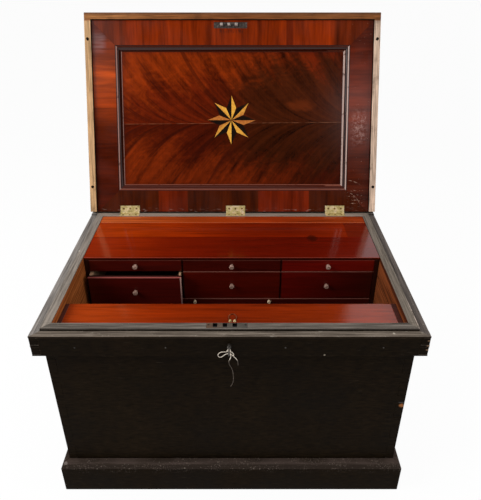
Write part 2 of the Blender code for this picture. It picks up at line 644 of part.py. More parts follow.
def make_drawers():
    half_board = TILL_BOARD / 2
    columns = (("left", -TILL_INNER, -DIVIDER_PLACE), ("middle", -DIVIDER_PLACE, DIVIDER_PLACE),
               ("right", DIVIDER_PLACE, TILL_INNER))
    rows = (("upper", UPPER_SHELF, TILL_CEILING, UPPER_SHELF + half_board, TILL_CEILING),
            ("lower", LOWER_SHELF, UPPER_SHELF, LOWER_SHELF + half_board, UPPER_SHELF - half_board))
    carriers = {}
    for row, front_low, front_high, low, high in rows:
        for column, left, right in columns:
            inner_left = left if column == "left" else left + half_board
            inner_right = right if column == "right" else right - half_board
            name = f"drawer_{row}_{column}"
            carriers[name] = make_drawer(name, (inner_left, inner_right), (low, high), (left, right),
                                         (front_low, front_high), [(left + right) / 2],
                                         KNOB_RADIUS, KNOB_HEIGHT)
    make_drawer("drawer_long_tray", (-TILL_INNER, TILL_INNER), (TILL_FLOOR, LOWER_SHELF - half_board),
                (-TILL_INNER, TILL_INNER), (TILL_FLOOR, LOWER_SHELF), [-TRAY_KNOB_PLACE, TRAY_KNOB_PLACE],
                TRAY_KNOB_RADIUS, TRAY_KNOB_HEIGHT)
    return carriers


def make_saw_till():
    """The cover turns at its rear edge, on pintles in the side walls, and lies on the saw till's back."""
    half = INNER_WIDTH - RUN
    front_edge = INNER_FRONT + COVER_CLEARANCE + COVER / 2
    outline = arc((front_edge, COVER_AXIS_Z), COVER / 2, 90, 270, EDGE_STEPS)
    outline += arc((COVER_AXIS_Y, COVER_AXIS_Z), COVER / 2, -90, 90, EDGE_STEPS)
    bm = bmesh.new()
    add_prism(bm, outline, -half, half)
    cover = solid("saw_till_cover", bm, MAHOGANY, (0.0, COVER_AXIS_Y, COVER_AXIS_Z))
    pintles = []
    for side in (-1, 1):
        pintles.append(((side * (half - PINTLE_LENGTH), COVER_AXIS_Y, COVER_AXIS_Z),
                        (side * (INNER_WIDTH + PINTLE_LENGTH - RUN), COVER_AXIS_Y, COVER_AXIS_Z)))
    boolean(cover, rods("cover_pintles", pintles, PINTLE_RADIUS), "UNION")
    back = COVER_BACK - COVER_OVERHANG
    board("saw_till_back", (SEAT - INNER_WIDTH, back - PARTITION, FLOOR + SEAT),
          (INNER_WIDTH - SEAT, back, COVER_TOP - COVER - SEAT), MAHOGANY)


def make_lock(front_wall, frame, axis):
    left, right = LOCK_PLACE - LOCK_LENGTH / 2, LOCK_PLACE + LOCK_LENGTH / 2
    bottom = RIM_HEIGHT - LOCK_DEPTH
    ledge = RIM_HEIGHT - SELVEDGE
    lip = INNER_FRONT - SELVEDGE_WIDTH
    bm = bmesh.new()
    add_prism(bm, [(lip, ledge), (lip, RIM_HEIGHT), (INNER_FRONT, RIM_HEIGHT), (INNER_FRONT, bottom),
                   (LOCK_FRONT, bottom), (LOCK_FRONT, ledge)], left, right)
    case = solid("lock_case", bm, IRON, (LOCK_PLACE, LOCK_Y, KEY_Z))
    cavity = board("lock_cavity", (left + LOCK_PLATE, CAVITY_FRONT, bottom + LOCK_PLATE),
                   (right - LOCK_PLATE, CAVITY_BACK, ledge))
    boolean(case, cavity)
    reach_x = STAPLE / 2 + STAPLE_CLEARANCE
    reach_y = STAPLE_WIDTH / 2 + STAPLE_CLEARANCE
    slots = []
    for x in STAPLE_PLACES:
        slots.append(((x - reach_x, LOCK_Y - reach_y, ledge - PAST),
                      (x + reach_x, LOCK_Y + reach_y, RIM_HEIGHT + PAST)))
    boolean(case, blocks("lock_slots", slots))
    boolean(case, keyhole("lock_keyhole", LOCK_FRONT - PAST, CAVITY_FRONT + PAST))

    bm = bmesh.new()
    add_prism(bm, [(lip - SEAT, ledge - SEAT), (lip - SEAT, RIM_HEIGHT + PAST),
                   (INNER_FRONT + PAST, RIM_HEIGHT + PAST), (INNER_FRONT + PAST, bottom - SEAT),
                   (LOCK_FRONT - SEAT, bottom - SEAT), (LOCK_FRONT - SEAT, ledge - SEAT)],
              left - SEAT, right + SEAT)
    boolean(front_wall, solid("lock_bed", bm))
    boolean(front_wall, keyhole("wall_keyhole", -HALF_DEPTH - PAST, LOCK_FRONT + PAST))

    link_low = LOCK_PLACE - LINK_LENGTH / 2
    link_high = LOCK_PLACE + LINK_LENGTH / 2
    half_link = LINK_WIDTH / 2
    plate = board("link_plate", (link_low, LOCK_Y - half_link, LID_FACE),
                  (link_high, LOCK_Y + half_link, LID_FACE + LINK_PLATE), IRON, axis)
    staples = []
    for x in STAPLE_PLACES:
        staples.append(((x - STAPLE / 2, LOCK_Y - STAPLE_WIDTH / 2, LID_FACE - STAPLE_DROP),
                        (x + STAPLE / 2, LOCK_Y + STAPLE_WIDTH / 2, LID_FACE + LINK_PLATE / 2)))
    boolean(plate, blocks("link_staples", staples, axis), "UNION")
    half_eye = STAPLE_EYE / 2
    eye = board("link_eyes", (link_low - PAST, LOCK_Y - half_eye, EYE_Z - half_eye),
                (link_high + PAST, LOCK_Y + half_eye, EYE_Z + half_eye), carrier=axis)
    boolean(plate, eye)
    bed = board("link_bed", (link_low - SEAT, LOCK_Y - half_link - SEAT, LID_FACE - PAST),
                (link_high + SEAT, LOCK_Y + half_link + SEAT, LID_FACE + LINK_PLATE + SEAT), carrier=axis)
    boolean(frame, bed)
    make_bolt()


def make_bolt():
    """A comb that slides sideways, so that its fingers pass through the eyes of the staples."""
    tip = STAPLE / 2 + BOLT_REST_GAP
    post = tip + BOLT_TRAVEL + BOLT_REST_GAP
    bar_top = RIM_HEIGHT - BOLT_BAR_TOP
    half_finger = BOLT_FINGER / 2
    posts = [(x - post - BOLT_FINGER, x - post) for x in STAPLE_PLACES]
    bolt = board("lock_bolt", (posts[0][0], CAVITY_FRONT + SEAT, bar_top - BOLT_BAR),
                 (posts[-1][1], CAVITY_BACK - SEAT, bar_top), IRON)
    uprights = [((a, LOCK_Y - half_finger, bar_top - PAST), (b, LOCK_Y + half_finger, EYE_Z + half_finger))
                for a, b in posts]
    boolean(bolt, blocks("bolt_posts", uprights), "UNION")
    inset = SEAT / 2
    fingers = [((b - PAST, LOCK_Y - half_finger + inset, EYE_Z - half_finger + inset),
                (x - tip, LOCK_Y + half_finger - inset, EYE_Z + half_finger - inset))
               for x, (a, b) in zip(STAPLE_PLACES, posts)]
    boolean(bolt, blocks("bolt_fingers", fingers), "UNION")


def make_key():
    collar = CHEST_FRONT - STRING_ROOM
    bow = collar - COLLAR - BOW_RADIUS
    bm = bmesh.new()
    add_rod(bm, (KEY_PLACE, CAVITY_BACK - RUN, KEY_Z), (KEY_PLACE, collar, KEY_Z), SHANK_RADIUS)
    key = solid("key", bm, IRON, (KEY_PLACE, collar, KEY_Z))
    bit = board("key_bit", (KEY_PLACE - BIT / 2, CAVITY_FRONT + RUN, KEY_Z - BIT_REACH),
                (KEY_PLACE + BIT / 2, CAVITY_BACK - 2 * RUN, KEY_Z))
    boolean(key, bit, "UNION")
    ring = rods("key_collar", [((KEY_PLACE, collar + SEAT, KEY_Z), (KEY_PLACE, collar - COLLAR, KEY_Z))],
                COLLAR_RADIUS)
    boolean(key, ring, "UNION")
    bpy.ops.mesh.primitive_torus_add(location=(KEY_PLACE, bow, KEY_Z), rotation=(0.0, math.radians(90), 0.0),
                                     major_radius=BOW_RADIUS, minor_radius=BOW_WIRE,
                                     major_segments=BOW_SEGMENTS, minor_segments=WIRE_SIDES)
    loop = bpy.context.object
    loop.name = "key_bow"
    for collection in list(loop.users_collection):
        collection.objects.unlink(loop)
    loop.hide_render = True
    loop.display_type = "WIRE"
    CUTTERS.objects.link(loop)
    boolean(key, loop, "UNION")


def tube(name, points, radius, finish, origin):
    """A round bar or cord along a row of points in the chest's frame."""
    curve = bpy.data.curves.new(name, "CURVE")
    curve.dimensions = "3D"
    curve.bevel_depth = radius
    curve.bevel_resolution = TUBE_RESOLUTION
    curve.use_fill_caps = True
    spline = curve.splines.new("POLY")
    spline.points.add(len(points) - 1)
    for knot, point in zip(spline.points, points):
        knot.co = (*(Vector(point) - Vector(origin)), 1.0)
    return link(bpy.data.objects.new(name, curve), finish, origin, None)


def smooth_route(route, steps):
    """Points on a natural cubic spline through a route's own points."""
    knots = np.array(route)
    weights = np.eye(len(knots))
    bends = np.zeros_like(knots)
    for place in range(1, len(knots) - 1):
        weights[place, place - 1:place + 2] = (1, 4, 1)
        bends[place] = 6 * (knots[place - 1] - 2 * knots[place] + knots[place + 1])
    bends = np.linalg.solve(weights, bends)
    points = []
    for start, end, first, second in zip(knots, knots[1:], bends, bends[1:]):
        for t in np.arange(steps) / steps:
            straight = (1 - t) * start + t * end
            points.append(straight - t * (1 - t) / 6 * ((2 - t) * first + (1 + t) * second))
    return [*points, knots[-1]]


def make_twine():
    route = [(KEY_PLACE + right, CHEST_FRONT - out, KEY_Z + up) for right, up, out in TWINE_ROUTE]
    tube("key_twine", smooth_route(route, TWINE_STEPS), TWINE / 2, COTTON, route[0])


def make_handle(name, side):
    face = HALF_WIDTH + SEAT
    axis = face + HANDLE_PLATE + BAIL_STANDOFF
    half_height = HANDLE_PLATE_HEIGHT / 2
    half_width = HANDLE_PLATE_WIDTH / 2
    near, far = sorted((side * face, side * (face + HANDLE_PLATE)))
    plate = board("handle_plate_" + name, (near, -half_width, HANDLE_HEIGHT - half_height),
                  (far, half_width, HANDLE_HEIGHT + half_height), IRON)
    bore = BAIL_RADIUS + RUN
    ear = bore + EAR_WALL
    ears = []
    for end in (-1, 1):
        span = sorted((end * (EAR_PLACE - EAR_WIDTH / 2), end * (EAR_PLACE + EAR_WIDTH / 2)))
        reach = sorted((side * (face + HANDLE_PLATE / 2), side * (axis + ear)))
        ears.append(((reach[0], span[0], HANDLE_HEIGHT - ear), (reach[1], span[1], HANDLE_HEIGHT + ear)))
    boolean(plate, blocks(f"handle_{name}_ears", ears), "UNION")
    hole = ((side * axis, -half_width, HANDLE_HEIGHT), (side * axis, half_width, HANDLE_HEIGHT))
    boolean(plate, rods(f"handle_{name}_bore", [hole], bore))

    corner_y = BAIL_HALF_WIDTH - BAIL_BEND
    bend = arc((corner_y, -BAIL_BEND), BAIL_BEND, 90, 0, BEND_STEPS)
    bend += arc((corner_y, BAIL_BEND - BAIL_DROP), BAIL_BEND, 0, -90, BEND_STEPS)
    half = [(EAR_PLACE - EAR_WIDTH / 2, 0.0), *bend]
    path = half + [(-y, z) for y, z in reversed(half)]
    points = [(side * axis, y, HANDLE_HEIGHT + z) for y, z in path]
    tube("handle_bail_" + name, points, BAIL_RADIUS, IRON, (side * axis, 0.0, HANDLE_HEIGHT))


front_wall, back_wall = make_carcase()
make_plinth()
make_skirt()
make_nest()
carriers = make_drawers()
make_saw_till()
lid_axis = pivot("lid_axis", (0.0, PIN_Y, PIN_Z))
lid_frame = make_lid(lid_axis)
for hinge, hinge_place in HINGE_PLACES.items():
    make_hinge(hinge, hinge_place, lid_axis, back_wall, lid_frame)
make_lock(front_wall, lid_frame, lid_axis)
make_key()
make_twine()
for end_name, end_side in (("left", -1), ("right", 1)):
    make_handle(end_name, end_side)

lid_axis.rotation_euler.x = -LID_OPEN
carriers["drawer_lower_left"].location.y -= DRAWER_PULLED
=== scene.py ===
"""The looks of the tool chest: finishes, inlay, small hardware, the twine on its key, light and camera.

Metres, +Z up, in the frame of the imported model. The front faces -Y. Places on the lid are written as
(x, out, proud): out is the distance from the hinge pin along the lid, proud is towards the chest's inside.
Colours of three values are display colours, from 0 to 255; the studio's have four and are linear.
"""
import json
from itertools import product
from math import asin, cos, pi, radians, sin

import bmesh
import bpy
import numpy as np
from mathutils import Matrix, Vector


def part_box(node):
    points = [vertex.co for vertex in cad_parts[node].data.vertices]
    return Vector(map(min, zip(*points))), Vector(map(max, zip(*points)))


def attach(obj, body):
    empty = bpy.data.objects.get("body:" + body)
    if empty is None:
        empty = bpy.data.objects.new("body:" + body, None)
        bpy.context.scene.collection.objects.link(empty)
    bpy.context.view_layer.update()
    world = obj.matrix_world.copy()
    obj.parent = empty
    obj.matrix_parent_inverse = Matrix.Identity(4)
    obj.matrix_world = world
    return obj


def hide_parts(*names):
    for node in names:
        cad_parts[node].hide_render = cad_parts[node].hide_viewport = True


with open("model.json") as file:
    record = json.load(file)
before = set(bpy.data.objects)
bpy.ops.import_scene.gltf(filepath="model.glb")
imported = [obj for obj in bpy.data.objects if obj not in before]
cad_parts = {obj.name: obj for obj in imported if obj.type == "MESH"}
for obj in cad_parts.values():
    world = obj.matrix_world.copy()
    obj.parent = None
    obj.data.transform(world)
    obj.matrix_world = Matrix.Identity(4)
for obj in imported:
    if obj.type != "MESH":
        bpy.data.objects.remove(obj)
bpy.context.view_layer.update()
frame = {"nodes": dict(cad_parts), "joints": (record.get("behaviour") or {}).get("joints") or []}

# Camera, as the photograph was taken
CAMERA_PLACE = (0.0255, -1.3128, 1.3662)
CAMERA_TILT = radians(59.66)
CAMERA_LENS = 39.08
SENSOR = 36.0

# Twine tied on the key, repeated from the solids: right of and above the shank, and out from the skirt
TWINE = 0.0018
TWINE_STEPS = 2
TWINE_ROUTE = (
    (0.0205, -0.0627, 0.0016), (0.0206, -0.0560, 0.0015), (0.0194, -0.0490, 0.0014),
    (0.0162, -0.0426, 0.0013), (0.0116, -0.0368, 0.0013), (0.0070, -0.0314, 0.0013),
    (0.0034, -0.0256, 0.0013), (0.0017, -0.0194, 0.0013), (0.0023, -0.0132, 0.0013),
    (0.0040, -0.0070, 0.0014), (0.0047, -0.0010, 0.0016), (0.0034, 0.0034, 0.0019),
    (0.0000, 0.0050, 0.0023), (-0.0034, 0.0034, 0.0027), (-0.0047, -0.0010, 0.0029),
    (-0.0039, -0.0070, 0.0028), (-0.0029, -0.0126, 0.0026), (-0.0042, -0.0176, 0.0023),
    (-0.0082, -0.0206, 0.0019), (-0.0136, -0.0208, 0.0015), (-0.0192, -0.0220, 0.0014),
    (-0.0242, -0.0252, 0.0013), (-0.0268, -0.0298, 0.0013), (-0.0260, -0.0348, 0.0013),
    (-0.0222, -0.0376, 0.0013), (-0.0179, -0.0362, 0.0013), (-0.0136, -0.0322, 0.0013),
    (-0.0086, -0.0282, 0.0013), (-0.0030, -0.0266, 0.0013), (0.0018, -0.0288, 0.0013),
    (0.0038, -0.0336, 0.0013), (0.0026, -0.0398, 0.0014), (-0.0002, -0.0466, 0.0015),
    (-0.0014, -0.0540, 0.0016), (0.0006, -0.0620, 0.0016), (0.0046, -0.0710, 0.0016),
    (0.0078, -0.0830, 0.0016), (0.0092, -0.0990, 0.0016), (0.0084, -0.1160, 0.0016),
    (0.0025, -0.1310, 0.0016),
)
KNOT_PLACE = (-0.0009, -0.0162, 0.003)
KNOT_SIZE = (0.0044, 0.0036, 0.001)
KNOT_STRAND = 0.00085
KNOT_STEPS = 60
BOW_LENGTH = 0.0165
BOW_WIDTH = 0.0062
BOW_SLOPE = radians(48)
BOW_PROUD = 0.0016

# Places read from the frame
JOINTS = {joint["name"]: joint for joint in frame["joints"]}
PIN = Vector(JOINTS["lid_hinge"]["pos_m"])
LID_SLOPE = pi + radians(JOINTS["lid_hinge"]["range_deg"][0])
LID_INWARD = Vector((0, -sin(LID_SLOPE), cos(LID_SLOPE)))
KEY_PLACE, _, KEY_Z = JOINTS["key_turn"]["pos_m"]
SKIRT_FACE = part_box("skirt_front")[0].y
SKIRT_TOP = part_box("skirt_front")[1].z
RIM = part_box("front_wall")[1].z
PLINTH_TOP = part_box("plinth_front")[1].z
INNER_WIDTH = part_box("right_wall")[0].x
INNER_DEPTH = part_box("back_wall")[0].y
COVER_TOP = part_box("saw_till_cover")[1].z
STRIP_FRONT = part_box("till_rear_strip")[0].y
TILL_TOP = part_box("till_top")[1].z
TILL_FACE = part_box("till_top")[0].y
CARCASE_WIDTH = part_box("front_wall")[1].x
LOCK_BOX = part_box("lock_case")
LOCK_LINE = (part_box("lock_bolt")[0].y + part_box("lock_bolt")[1].y) / 2

# The lid's inside, in lid places
MOULDING_WIDTH = 0.3765
MOULDING_BOTTOM = 0.072
MOULDING_TOP = 0.535
VENEER_JOINT = 0.291
VENEER_JOINT_SLOPE = 0.0084
PANEL_PROUD = -0.00615
FRAME_PROUD = -0.00115

# Star inlaid in the lid's panel: the outline of half a ray, along it and across it, in shares of the radius
STAR_PLACE = (-0.004, 0.3005)
STAR_RADIUS = 0.078
STAR_RAYS = 8
STAR_OUTLINE = ((0.012, 0.004), (0.51, 0.195), (1, 0.002))
STAR_THICKNESS = 0.0003

# Marks on the lid: painted shade round the holes in its side rims, which widens their dark, and scratches as
# (centre, radius) on its banding
RIM_HOLES = ((0.461, 0.0845), (0.461, 0.5525))
RIM_HOLE_SHADE = (0.0045, 0.0045)
BAND_SCRATCHES = (((0.372, 0.02), 0.0865), ((0.362, 0.008), 0.0618))

# Marks of use on the paint: chips as place, radius, raggedness and colour, then the skirt's pale dovetails
PAINT_CHIPS = (
    ((-0.447, 0.0564, RIM), 0.004, 0.6, (180, 172, 160)),
    ((0.3854, -0.3134, SKIRT_TOP), 0.0035, 0.6, (170, 160, 145)),
    ((-0.456, -0.3195, 0.104), 0.006, 0.6, (112, 102, 96)),
    ((0.3976, -0.33, 0.035), 0.0025, 0.6, (110, 100, 90)),
    ((0.23, -0.33, 0.063), 0.002, 0.6, (100, 92, 84)),
    ((-0.3212, -0.33, 0.084), 0.003, 0.6, (120, 112, 104)),
    ((0.2251, -0.3255, 0.4993), 0.003, 0.6, (130, 120, 105)),
    ((0.4415, -0.304, 0.307), 0.0135, 1.3, (150, 95, 55)),
)
NICK_HEIGHT = 0.3205
DOVETAIL_HEIGHTS = (0.5147, 0.527, 0.542)

# The nest of drawers: the joint and the knot of its top board, and the colours of the fronts' two ends; the
# lower right front darkens towards its right end as painted shade by the wall
TILL_JOINT = 0.1437
TILL_KNOT = (0.2435, 0.136)
TILL_KNOT_SIZE = (0.017, 0.021)
DRAWER_FRONT = 0.014
DRAWER_WALL = 0.0085
PULLED_DRAWER = "drawer_lower_left"
DRAWER_TINTS = {
    "drawer_upper_left": ((68, 9, 3), (64, 9, 3)),
    "drawer_upper_middle": ((62, 9, 3), (62, 9, 3)),
    "drawer_upper_right": ((94, 10, 4), (102, 13, 4)),
    "drawer_lower_left": ((72, 12, 6), (68, 11, 6)),
    "drawer_lower_middle": ((76, 11, 2), (74, 11, 2)),
    "drawer_lower_right": ((88, 9, 3), (52, 9, 4)),
    "drawer_long_tray": ((60, 9, 4), (60, 9, 4)),
}

# Painted shade round the lock's three slots, which widens their dark openings
STAPLE_PLACES = (-0.035, -0.0115, 0.012)
SLOT_SHADE_REACH = 0.0052
SLOT_SHADE_FRONT = -0.2988
SLOT_SHADE_BACK = -0.2832

# Screws, as the head's radius and how far it stands proud, with their places
SCREW_STEPS = 9
SCREW_FOOT_SHARE = 0.35
SCREW_TOP_SHARE = 0.86
SCREW_SLOT_SHARE = 0.16
HINGE_SCREW = (0.0032, 0.0005)
HINGE_STEP = 0.021
HINGE_OUT = 0.0128
HINGE_SET = 0.0145
LOCK_SCREW = (0.0026, 0.0004)
LOCK_INSET = 0.0045
LOCK_SINK = 0.0002
HANDLE_SCREW = (0.0034, 0.0006)
HANDLE_INSET = 0.0062
HANDLE_PLATE = 0.003

# Nails in the skirt, and the ring pull on the saw till's cover; profiles are (height, radius) steps
NAIL_PLACES = (-0.3657, -0.1511, 0.1315, 0.3625)
NAIL_HEIGHT = 0.5215
NAIL_SINK = 0.0002
NAIL_SIDES = 10
NAIL_PROFILE = ((0, 0.0021), (0.0004, 0.0021), (0.0007, 0.0013), (0.0008, 0.0004))
EYE_PLACES = (0, 0.0108)
EYE_LINE = -0.2448
EYE_SINK = 0.0003
EYE_SIDES = 14
EYE_PROFILE = ((0, 0.004), (0.0008, 0.004), (0.0014, 0.003), (0.004, 0.0026), (0.005, 0.0014))
RING_PLACE = (0.0054, -0.2308)
RING_REACH = (0.0098, 0.0142)
RING_LIFT = 0.0014
RING_WIRE = 0.001
RING_STEPS = 40

# Easing of edges, and smooth shading
WELD = 0.00001
FLAT_ANGLE = radians(0.5)
EASE_ANGLE = radians(40)
SMOOTH_ANGLE = radians(35)

# Studio: lamps as name, place, target, size, power and whether the polish mirrors them
AMBIENT = 0.5
WHITE = (1, 1, 1, 1)
FLOOR_GREY = (0.85, 0.85, 0.85, 1)
FLOOR_SHARE = 0.95
FLOOR_SIZE = 40
FLAG_BLACK = (0.01, 0.01, 0.01, 1)
LAMPS = (
    ("key_light", (-2.6, -1.2, 2.6), (0, 0.1, 0.6), (1.4, 1.4), 62, True),
    ("fill_light", (1.35, -2.1, 2.35), (0, 0.1, 0.6), (1, 0.55), 2.6, True),
    ("left_softbox", (-2, -0.2, 1.2), (0, 0.3, 0.8), (1, 1.6), 22, False),
    ("right_softbox", (2, -0.2, 1.2), (0, 0.3, 0.8), (1, 1.6), 22, False),
)

# Black cards that keep the white studio out of the polish: name, place, facing, width and height
FLAGS = (
    ("studio_flag_front", (0.2, -2.5, 2.75), (0, 1, 0), (2.9, 3.1)),
    ("studio_flag_low", (-1.45, -2.5, 1.95), (0, 1, 0), (0.4, 1.5)),
    ("studio_flag_above", (0, -0.3, 4), (0, 0, -1), (2.6, 2)),
    ("studio_flag_back", (-0.38, 1.2, 1.65), (0, -1, 0), (2.04, 1.9)),
)


def on_lid(x, out, proud):
    """The world place of a point given on the open lid."""
    along = Vector((0, cos(LID_SLOPE), sin(LID_SLOPE)))
    return Vector((x, PIN.y, PIN.z)) + out * along + proud * LID_INWARD


def linear(colour):
    """A display colour as the shader's linear colour."""
    shares = [value / 255 for value in colour]
    channels = [share / 12.92 if share <= 0.04045 else ((share + 0.055) / 1.055) ** 2.4 for share in shares]
    return (*channels, 1)


class Graph:
    """The node tree of a new material or world, with short ways to add the nodes that the finishes share."""

    def __init__(self, name, kind="materials"):
        self.owner = getattr(bpy.data, kind).new(name)
        self.owner.use_nodes = True
        self.tree = self.owner.node_tree
        self.place = self.add("TexCoord").outputs["Object"]
        self.colour = None

    def feed(self, socket, value):
        """Link a socket to a node's output, or set it; a colour of three values is a display colour."""
        if isinstance(value, bpy.types.NodeSocket):
            self.tree.links.new(value, socket)
        elif socket.type == "RGBA" and len(value) == 3:
            socket.default_value = linear(value)
        else:
            socket.default_value = value

    def add(self, kind, inputs=None, **settings):
        node = self.tree.nodes.new("ShaderNode" + kind)
        for name, value in settings.items():
            setattr(node, name, value)
        for name, value in (inputs or {}).items():
            self.feed(node.inputs[name], value)
        return node

    def math(self, operation, first, second=0):
        return self.add("Math", {0: first, 1: second}, operation=operation).outputs[0]

    def measure(self, operation, first, second):
        """A dot product or a distance of two vectors."""
        return self.add("VectorMath", {0: first, 1: second}, operation=operation).outputs["Value"]

    def fold(self, operation, result, *values):
        for value in values:
            result = self.math(operation, result, value)
        return result

    def most(self, *values):
        return self.fold("MAXIMUM", *values)

    def all(self, *shares):
        return self.fold("MULTIPLY", *shares)

    def plus(self, *values):
        return self.fold("ADD", *values)

    def less(self, first, second):
        return self.math("SUBTRACT", first, second)

    def size(self, value):
        return self.math("ABSOLUTE", value)

    def choose(self, share, first, second):
        return self.add("Mix", {0: share, 2: first, 3: second}, data_type="FLOAT").outputs[0]

    def span(self, value, low, high, start=0, end=1):
        """A smooth step from one value to another as the first runs from low to high."""
        step = self.add("MapRange", {"Value": value, "From Min": low, "From Max": high,
                                     "To Min": start, "To Max": end})
        step.interpolation_type = "SMOOTHSTEP"
        return step.outputs["Result"]

    def within(self, value, low, high, soft):
        """1 between two values and 0 outside them, with soft ends."""
        return self.all(self.span(value, low - soft, low + soft), self.span(value, high + soft, high - soft))

    def mix(self, share, first, second, blend="MIX"):
        node = self.add("Mix", {0: share, 6: first, 7: second}, data_type="RGBA", blend_type=blend)
        return node.outputs[2]

    def over(self, colour, tint, *shares):
        """A colour with a tint laid over it, by the product of some shares."""
        return self.mix(self.all(*shares), colour, tint)

    def lay(self, tint, *shares):
        """Lay a tint over the material's own colour."""
        self.colour = self.over(self.colour, tint, *shares)

    def ramp(self, value, *stops):
        """A colour ramp through (place, colour) stops."""
        node = self.add("ValToRGB", {"Fac": value})
        elements = node.color_ramp.elements
        while len(elements) < len(stops):
            elements.new(1)
        for element, (place, colour) in zip(elements, stops):
            element.position = place
            element.color = linear(colour)
        return node.outputs["Color"]

    def run(self, value, low, high, *colours):
        """Colours spread evenly along a value as it runs from low to high."""
        share = self.add("MapRange", {"Value": value, "From Min": low, "From Max": high})
        last = len(colours) - 1
        stops = ((step / last, colour) for step, colour in enumerate(colours))
        return self.ramp(share.outputs["Result"], *stops)

    def shade(self, colour, value, depth):
        """A colour made darker and lighter by a noise about its middle."""
        factor = self.plus(self.all(self.less(value, 0.5), depth), 1)
        return self.mix(1, colour, factor, "MULTIPLY")

    def stretch(self, scale=(1, 1, 1), shift=(0, 0, 0), turn=(0, 0, 0), vector=None):
        return self.add("Mapping", {"Vector": vector or self.place, "Scale": scale, "Location": shift,
                                    "Rotation": turn}).outputs["Vector"]

    def noise(self, scale=1, detail=4, roughness=0.55, distortion=0, vector=None):
        """Noise of one scale, or of a scale for each axis, at the material's own place or at another."""
        if isinstance(scale, tuple):
            vector = self.stretch(scale, vector=vector)
            scale = 1
        node = self.add("TexNoise", {"Vector": vector or self.place, "Scale": scale, "Detail": detail,
                                     "Roughness": roughness, "Distortion": distortion})
        return node.outputs["Fac"]

    def marks(self, scale, detail, low, high, roughness=0.55):
        """Patches of noise: 0 up to a low value of it and 1 from a high one."""
        return self.span(self.noise(scale, detail, roughness), low, high)

    def axes(self, vector=None):
        """The three parts of a vector, or of the point's own place."""
        return self.add("SeparateXYZ", {"Vector": vector or self.place}).outputs

    def vector(self, x, y, z=0):
        return self.add("CombineXYZ", {"X": x, "Y": y, "Z": z}).outputs["Vector"]

    def grain(self, along, width, length, seed, distortion=0.5):
        """Streaks of wood grain: a noise drawn out along one axis."""
        scale = [1 / width] * 3
        scale[along] = 1 / length
        return self.noise(1, 5, 0.6, distortion, self.stretch(scale, (seed, seed, seed)))

    def facing(self, direction):
        """How far the face looks along a direction, in the piece's own axes, which move with it."""
        normal = self.add("NewGeometry").outputs["True Normal"]
        own = self.add("VectorTransform", {"Vector": normal}, vector_type="NORMAL",
                       convert_from="WORLD", convert_to="OBJECT").outputs["Vector"]
        return self.measure("DOT_PRODUCT", own, direction)

    def edges(self, radius):
        """Near 1 within a radius of a sharp edge, and 0 on the flat."""
        rounded = self.add("Bevel", {"Radius": radius}, samples=6).outputs["Normal"]
        true = self.add("NewGeometry").outputs["Normal"]
        return self.span(self.less(1, self.measure("DOT_PRODUCT", rounded, true)), 0.01, 0.35)

    def spot(self, place, radius, ragged):
        """1 within a ragged spot round a place."""
        away = self.measure("DISTANCE", self.place, place)
        rough = self.all(self.noise(0.9 / radius, 2), ragged * radius)
        return self.span(self.plus(away, rough), radius * 1.3, radius * 0.9)

    def oval(self, x, y, centre, reach):
        """The square of the distance from a centre, in shares of the reach."""
        over = self.math("DIVIDE", self.less(x, centre[0]), reach[0])
        rise = self.math("DIVIDE", self.less(y, centre[1]), reach[1])
        return self.plus(self.all(over, over), self.all(rise, rise))

    def lid(self):
        """The point's x, out and proud on the lid."""
        turn = Matrix.Rotation(-LID_SLOPE, 3, "X")
        return self.axes(self.stretch(shift=-(turn @ PIN), turn=(-LID_SLOPE, 0, 0)))

    def bump(self, height, distance, strength=0.3):
        node = self.add("Bump", {"Height": height, "Distance": distance, "Strength": strength})
        return node.outputs["Normal"]

    def seen(self):
        """1 for the rays that show the studio: the camera's own, and those that polish and glass pass on."""
        rays = self.add("LightPath").outputs
        return self.most(rays["Is Camera Ray"], rays["Is Glossy Ray"], rays["Is Transmission Ray"])

    def blend(self, share, first, second, output):
        """Send two shaders to an output, mixed by a share."""
        both = self.add("MixShader", {0: share, 1: first.outputs[0], 2: second.outputs[0]})
        self.feed(self.tree.nodes[output].inputs["Surface"], both.outputs[0])

    def finish(self, roughness, specular=0.5, metallic=0, normal=None):
        """Set the shader's sockets and hand over the material."""
        values = {"Base Color": self.colour, "Roughness": roughness, "Specular IOR Level": specular,
                  "Metallic": metallic, "Normal": normal}
        for name, value in values.items():
            if value is not None:
                self.feed(self.tree.nodes["Principled BSDF"].inputs[name], value)
        return self.owner


def add_object(name, data):
    thing = bpy.data.objects.new(name, data)
    bpy.context.scene.collection.objects.link(thing)
    return thing


def make_camera():
    data = bpy.data.cameras.new("camera")
    data.sensor_fit = "VERTICAL"
    data.sensor_height = SENSOR
    data.lens = CAMERA_LENS
    camera = add_object("camera", data)
    camera.location = CAMERA_PLACE
    camera.rotation_euler = (CAMERA_TILT, 0, 0)
    bpy.context.scene.camera = camera


def smooth_route(route, steps):
    """Points on a natural cubic spline through a route's own points."""
    knots = np.array(route)
    weights = np.eye(len(knots))
    bends = np.zeros_like(knots)
    for place in range(1, len(knots) - 1):
        weights[place, place - 1:place + 2] = (1, 4, 1)
        bends[place] = 6 * (knots[place - 1] - 2 * knots[place] + knots[place + 1])
    bends = np.linalg.solve(weights, bends)
    points = []
    for start, end, first, second in zip(knots, knots[1:], bends, bends[1:]):
        for t in np.arange(steps) / steps:
            straight = (1 - t) * start + t * end
            points.append(straight - t * (1 - t) / 6 * ((2 - t) * first + (1 + t) * second))
    return [*points, knots[-1]]


def add_piece(name, bm, material, body):
    """A mesh piece that rides on a body and takes the material given."""
    bmesh.ops.recalc_face_normals(bm, faces=bm.faces)
    mesh = bpy.data.meshes.new(name)
    bm.to_mesh(mesh)
    bm.free()
    mesh.shade_smooth()
    mesh.set_sharp_from_angle(angle=SMOOTH_ANGLE)
    mesh.materials.append(material)
    piece = add_object(name, mesh)
    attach(piece, body)
    return piece


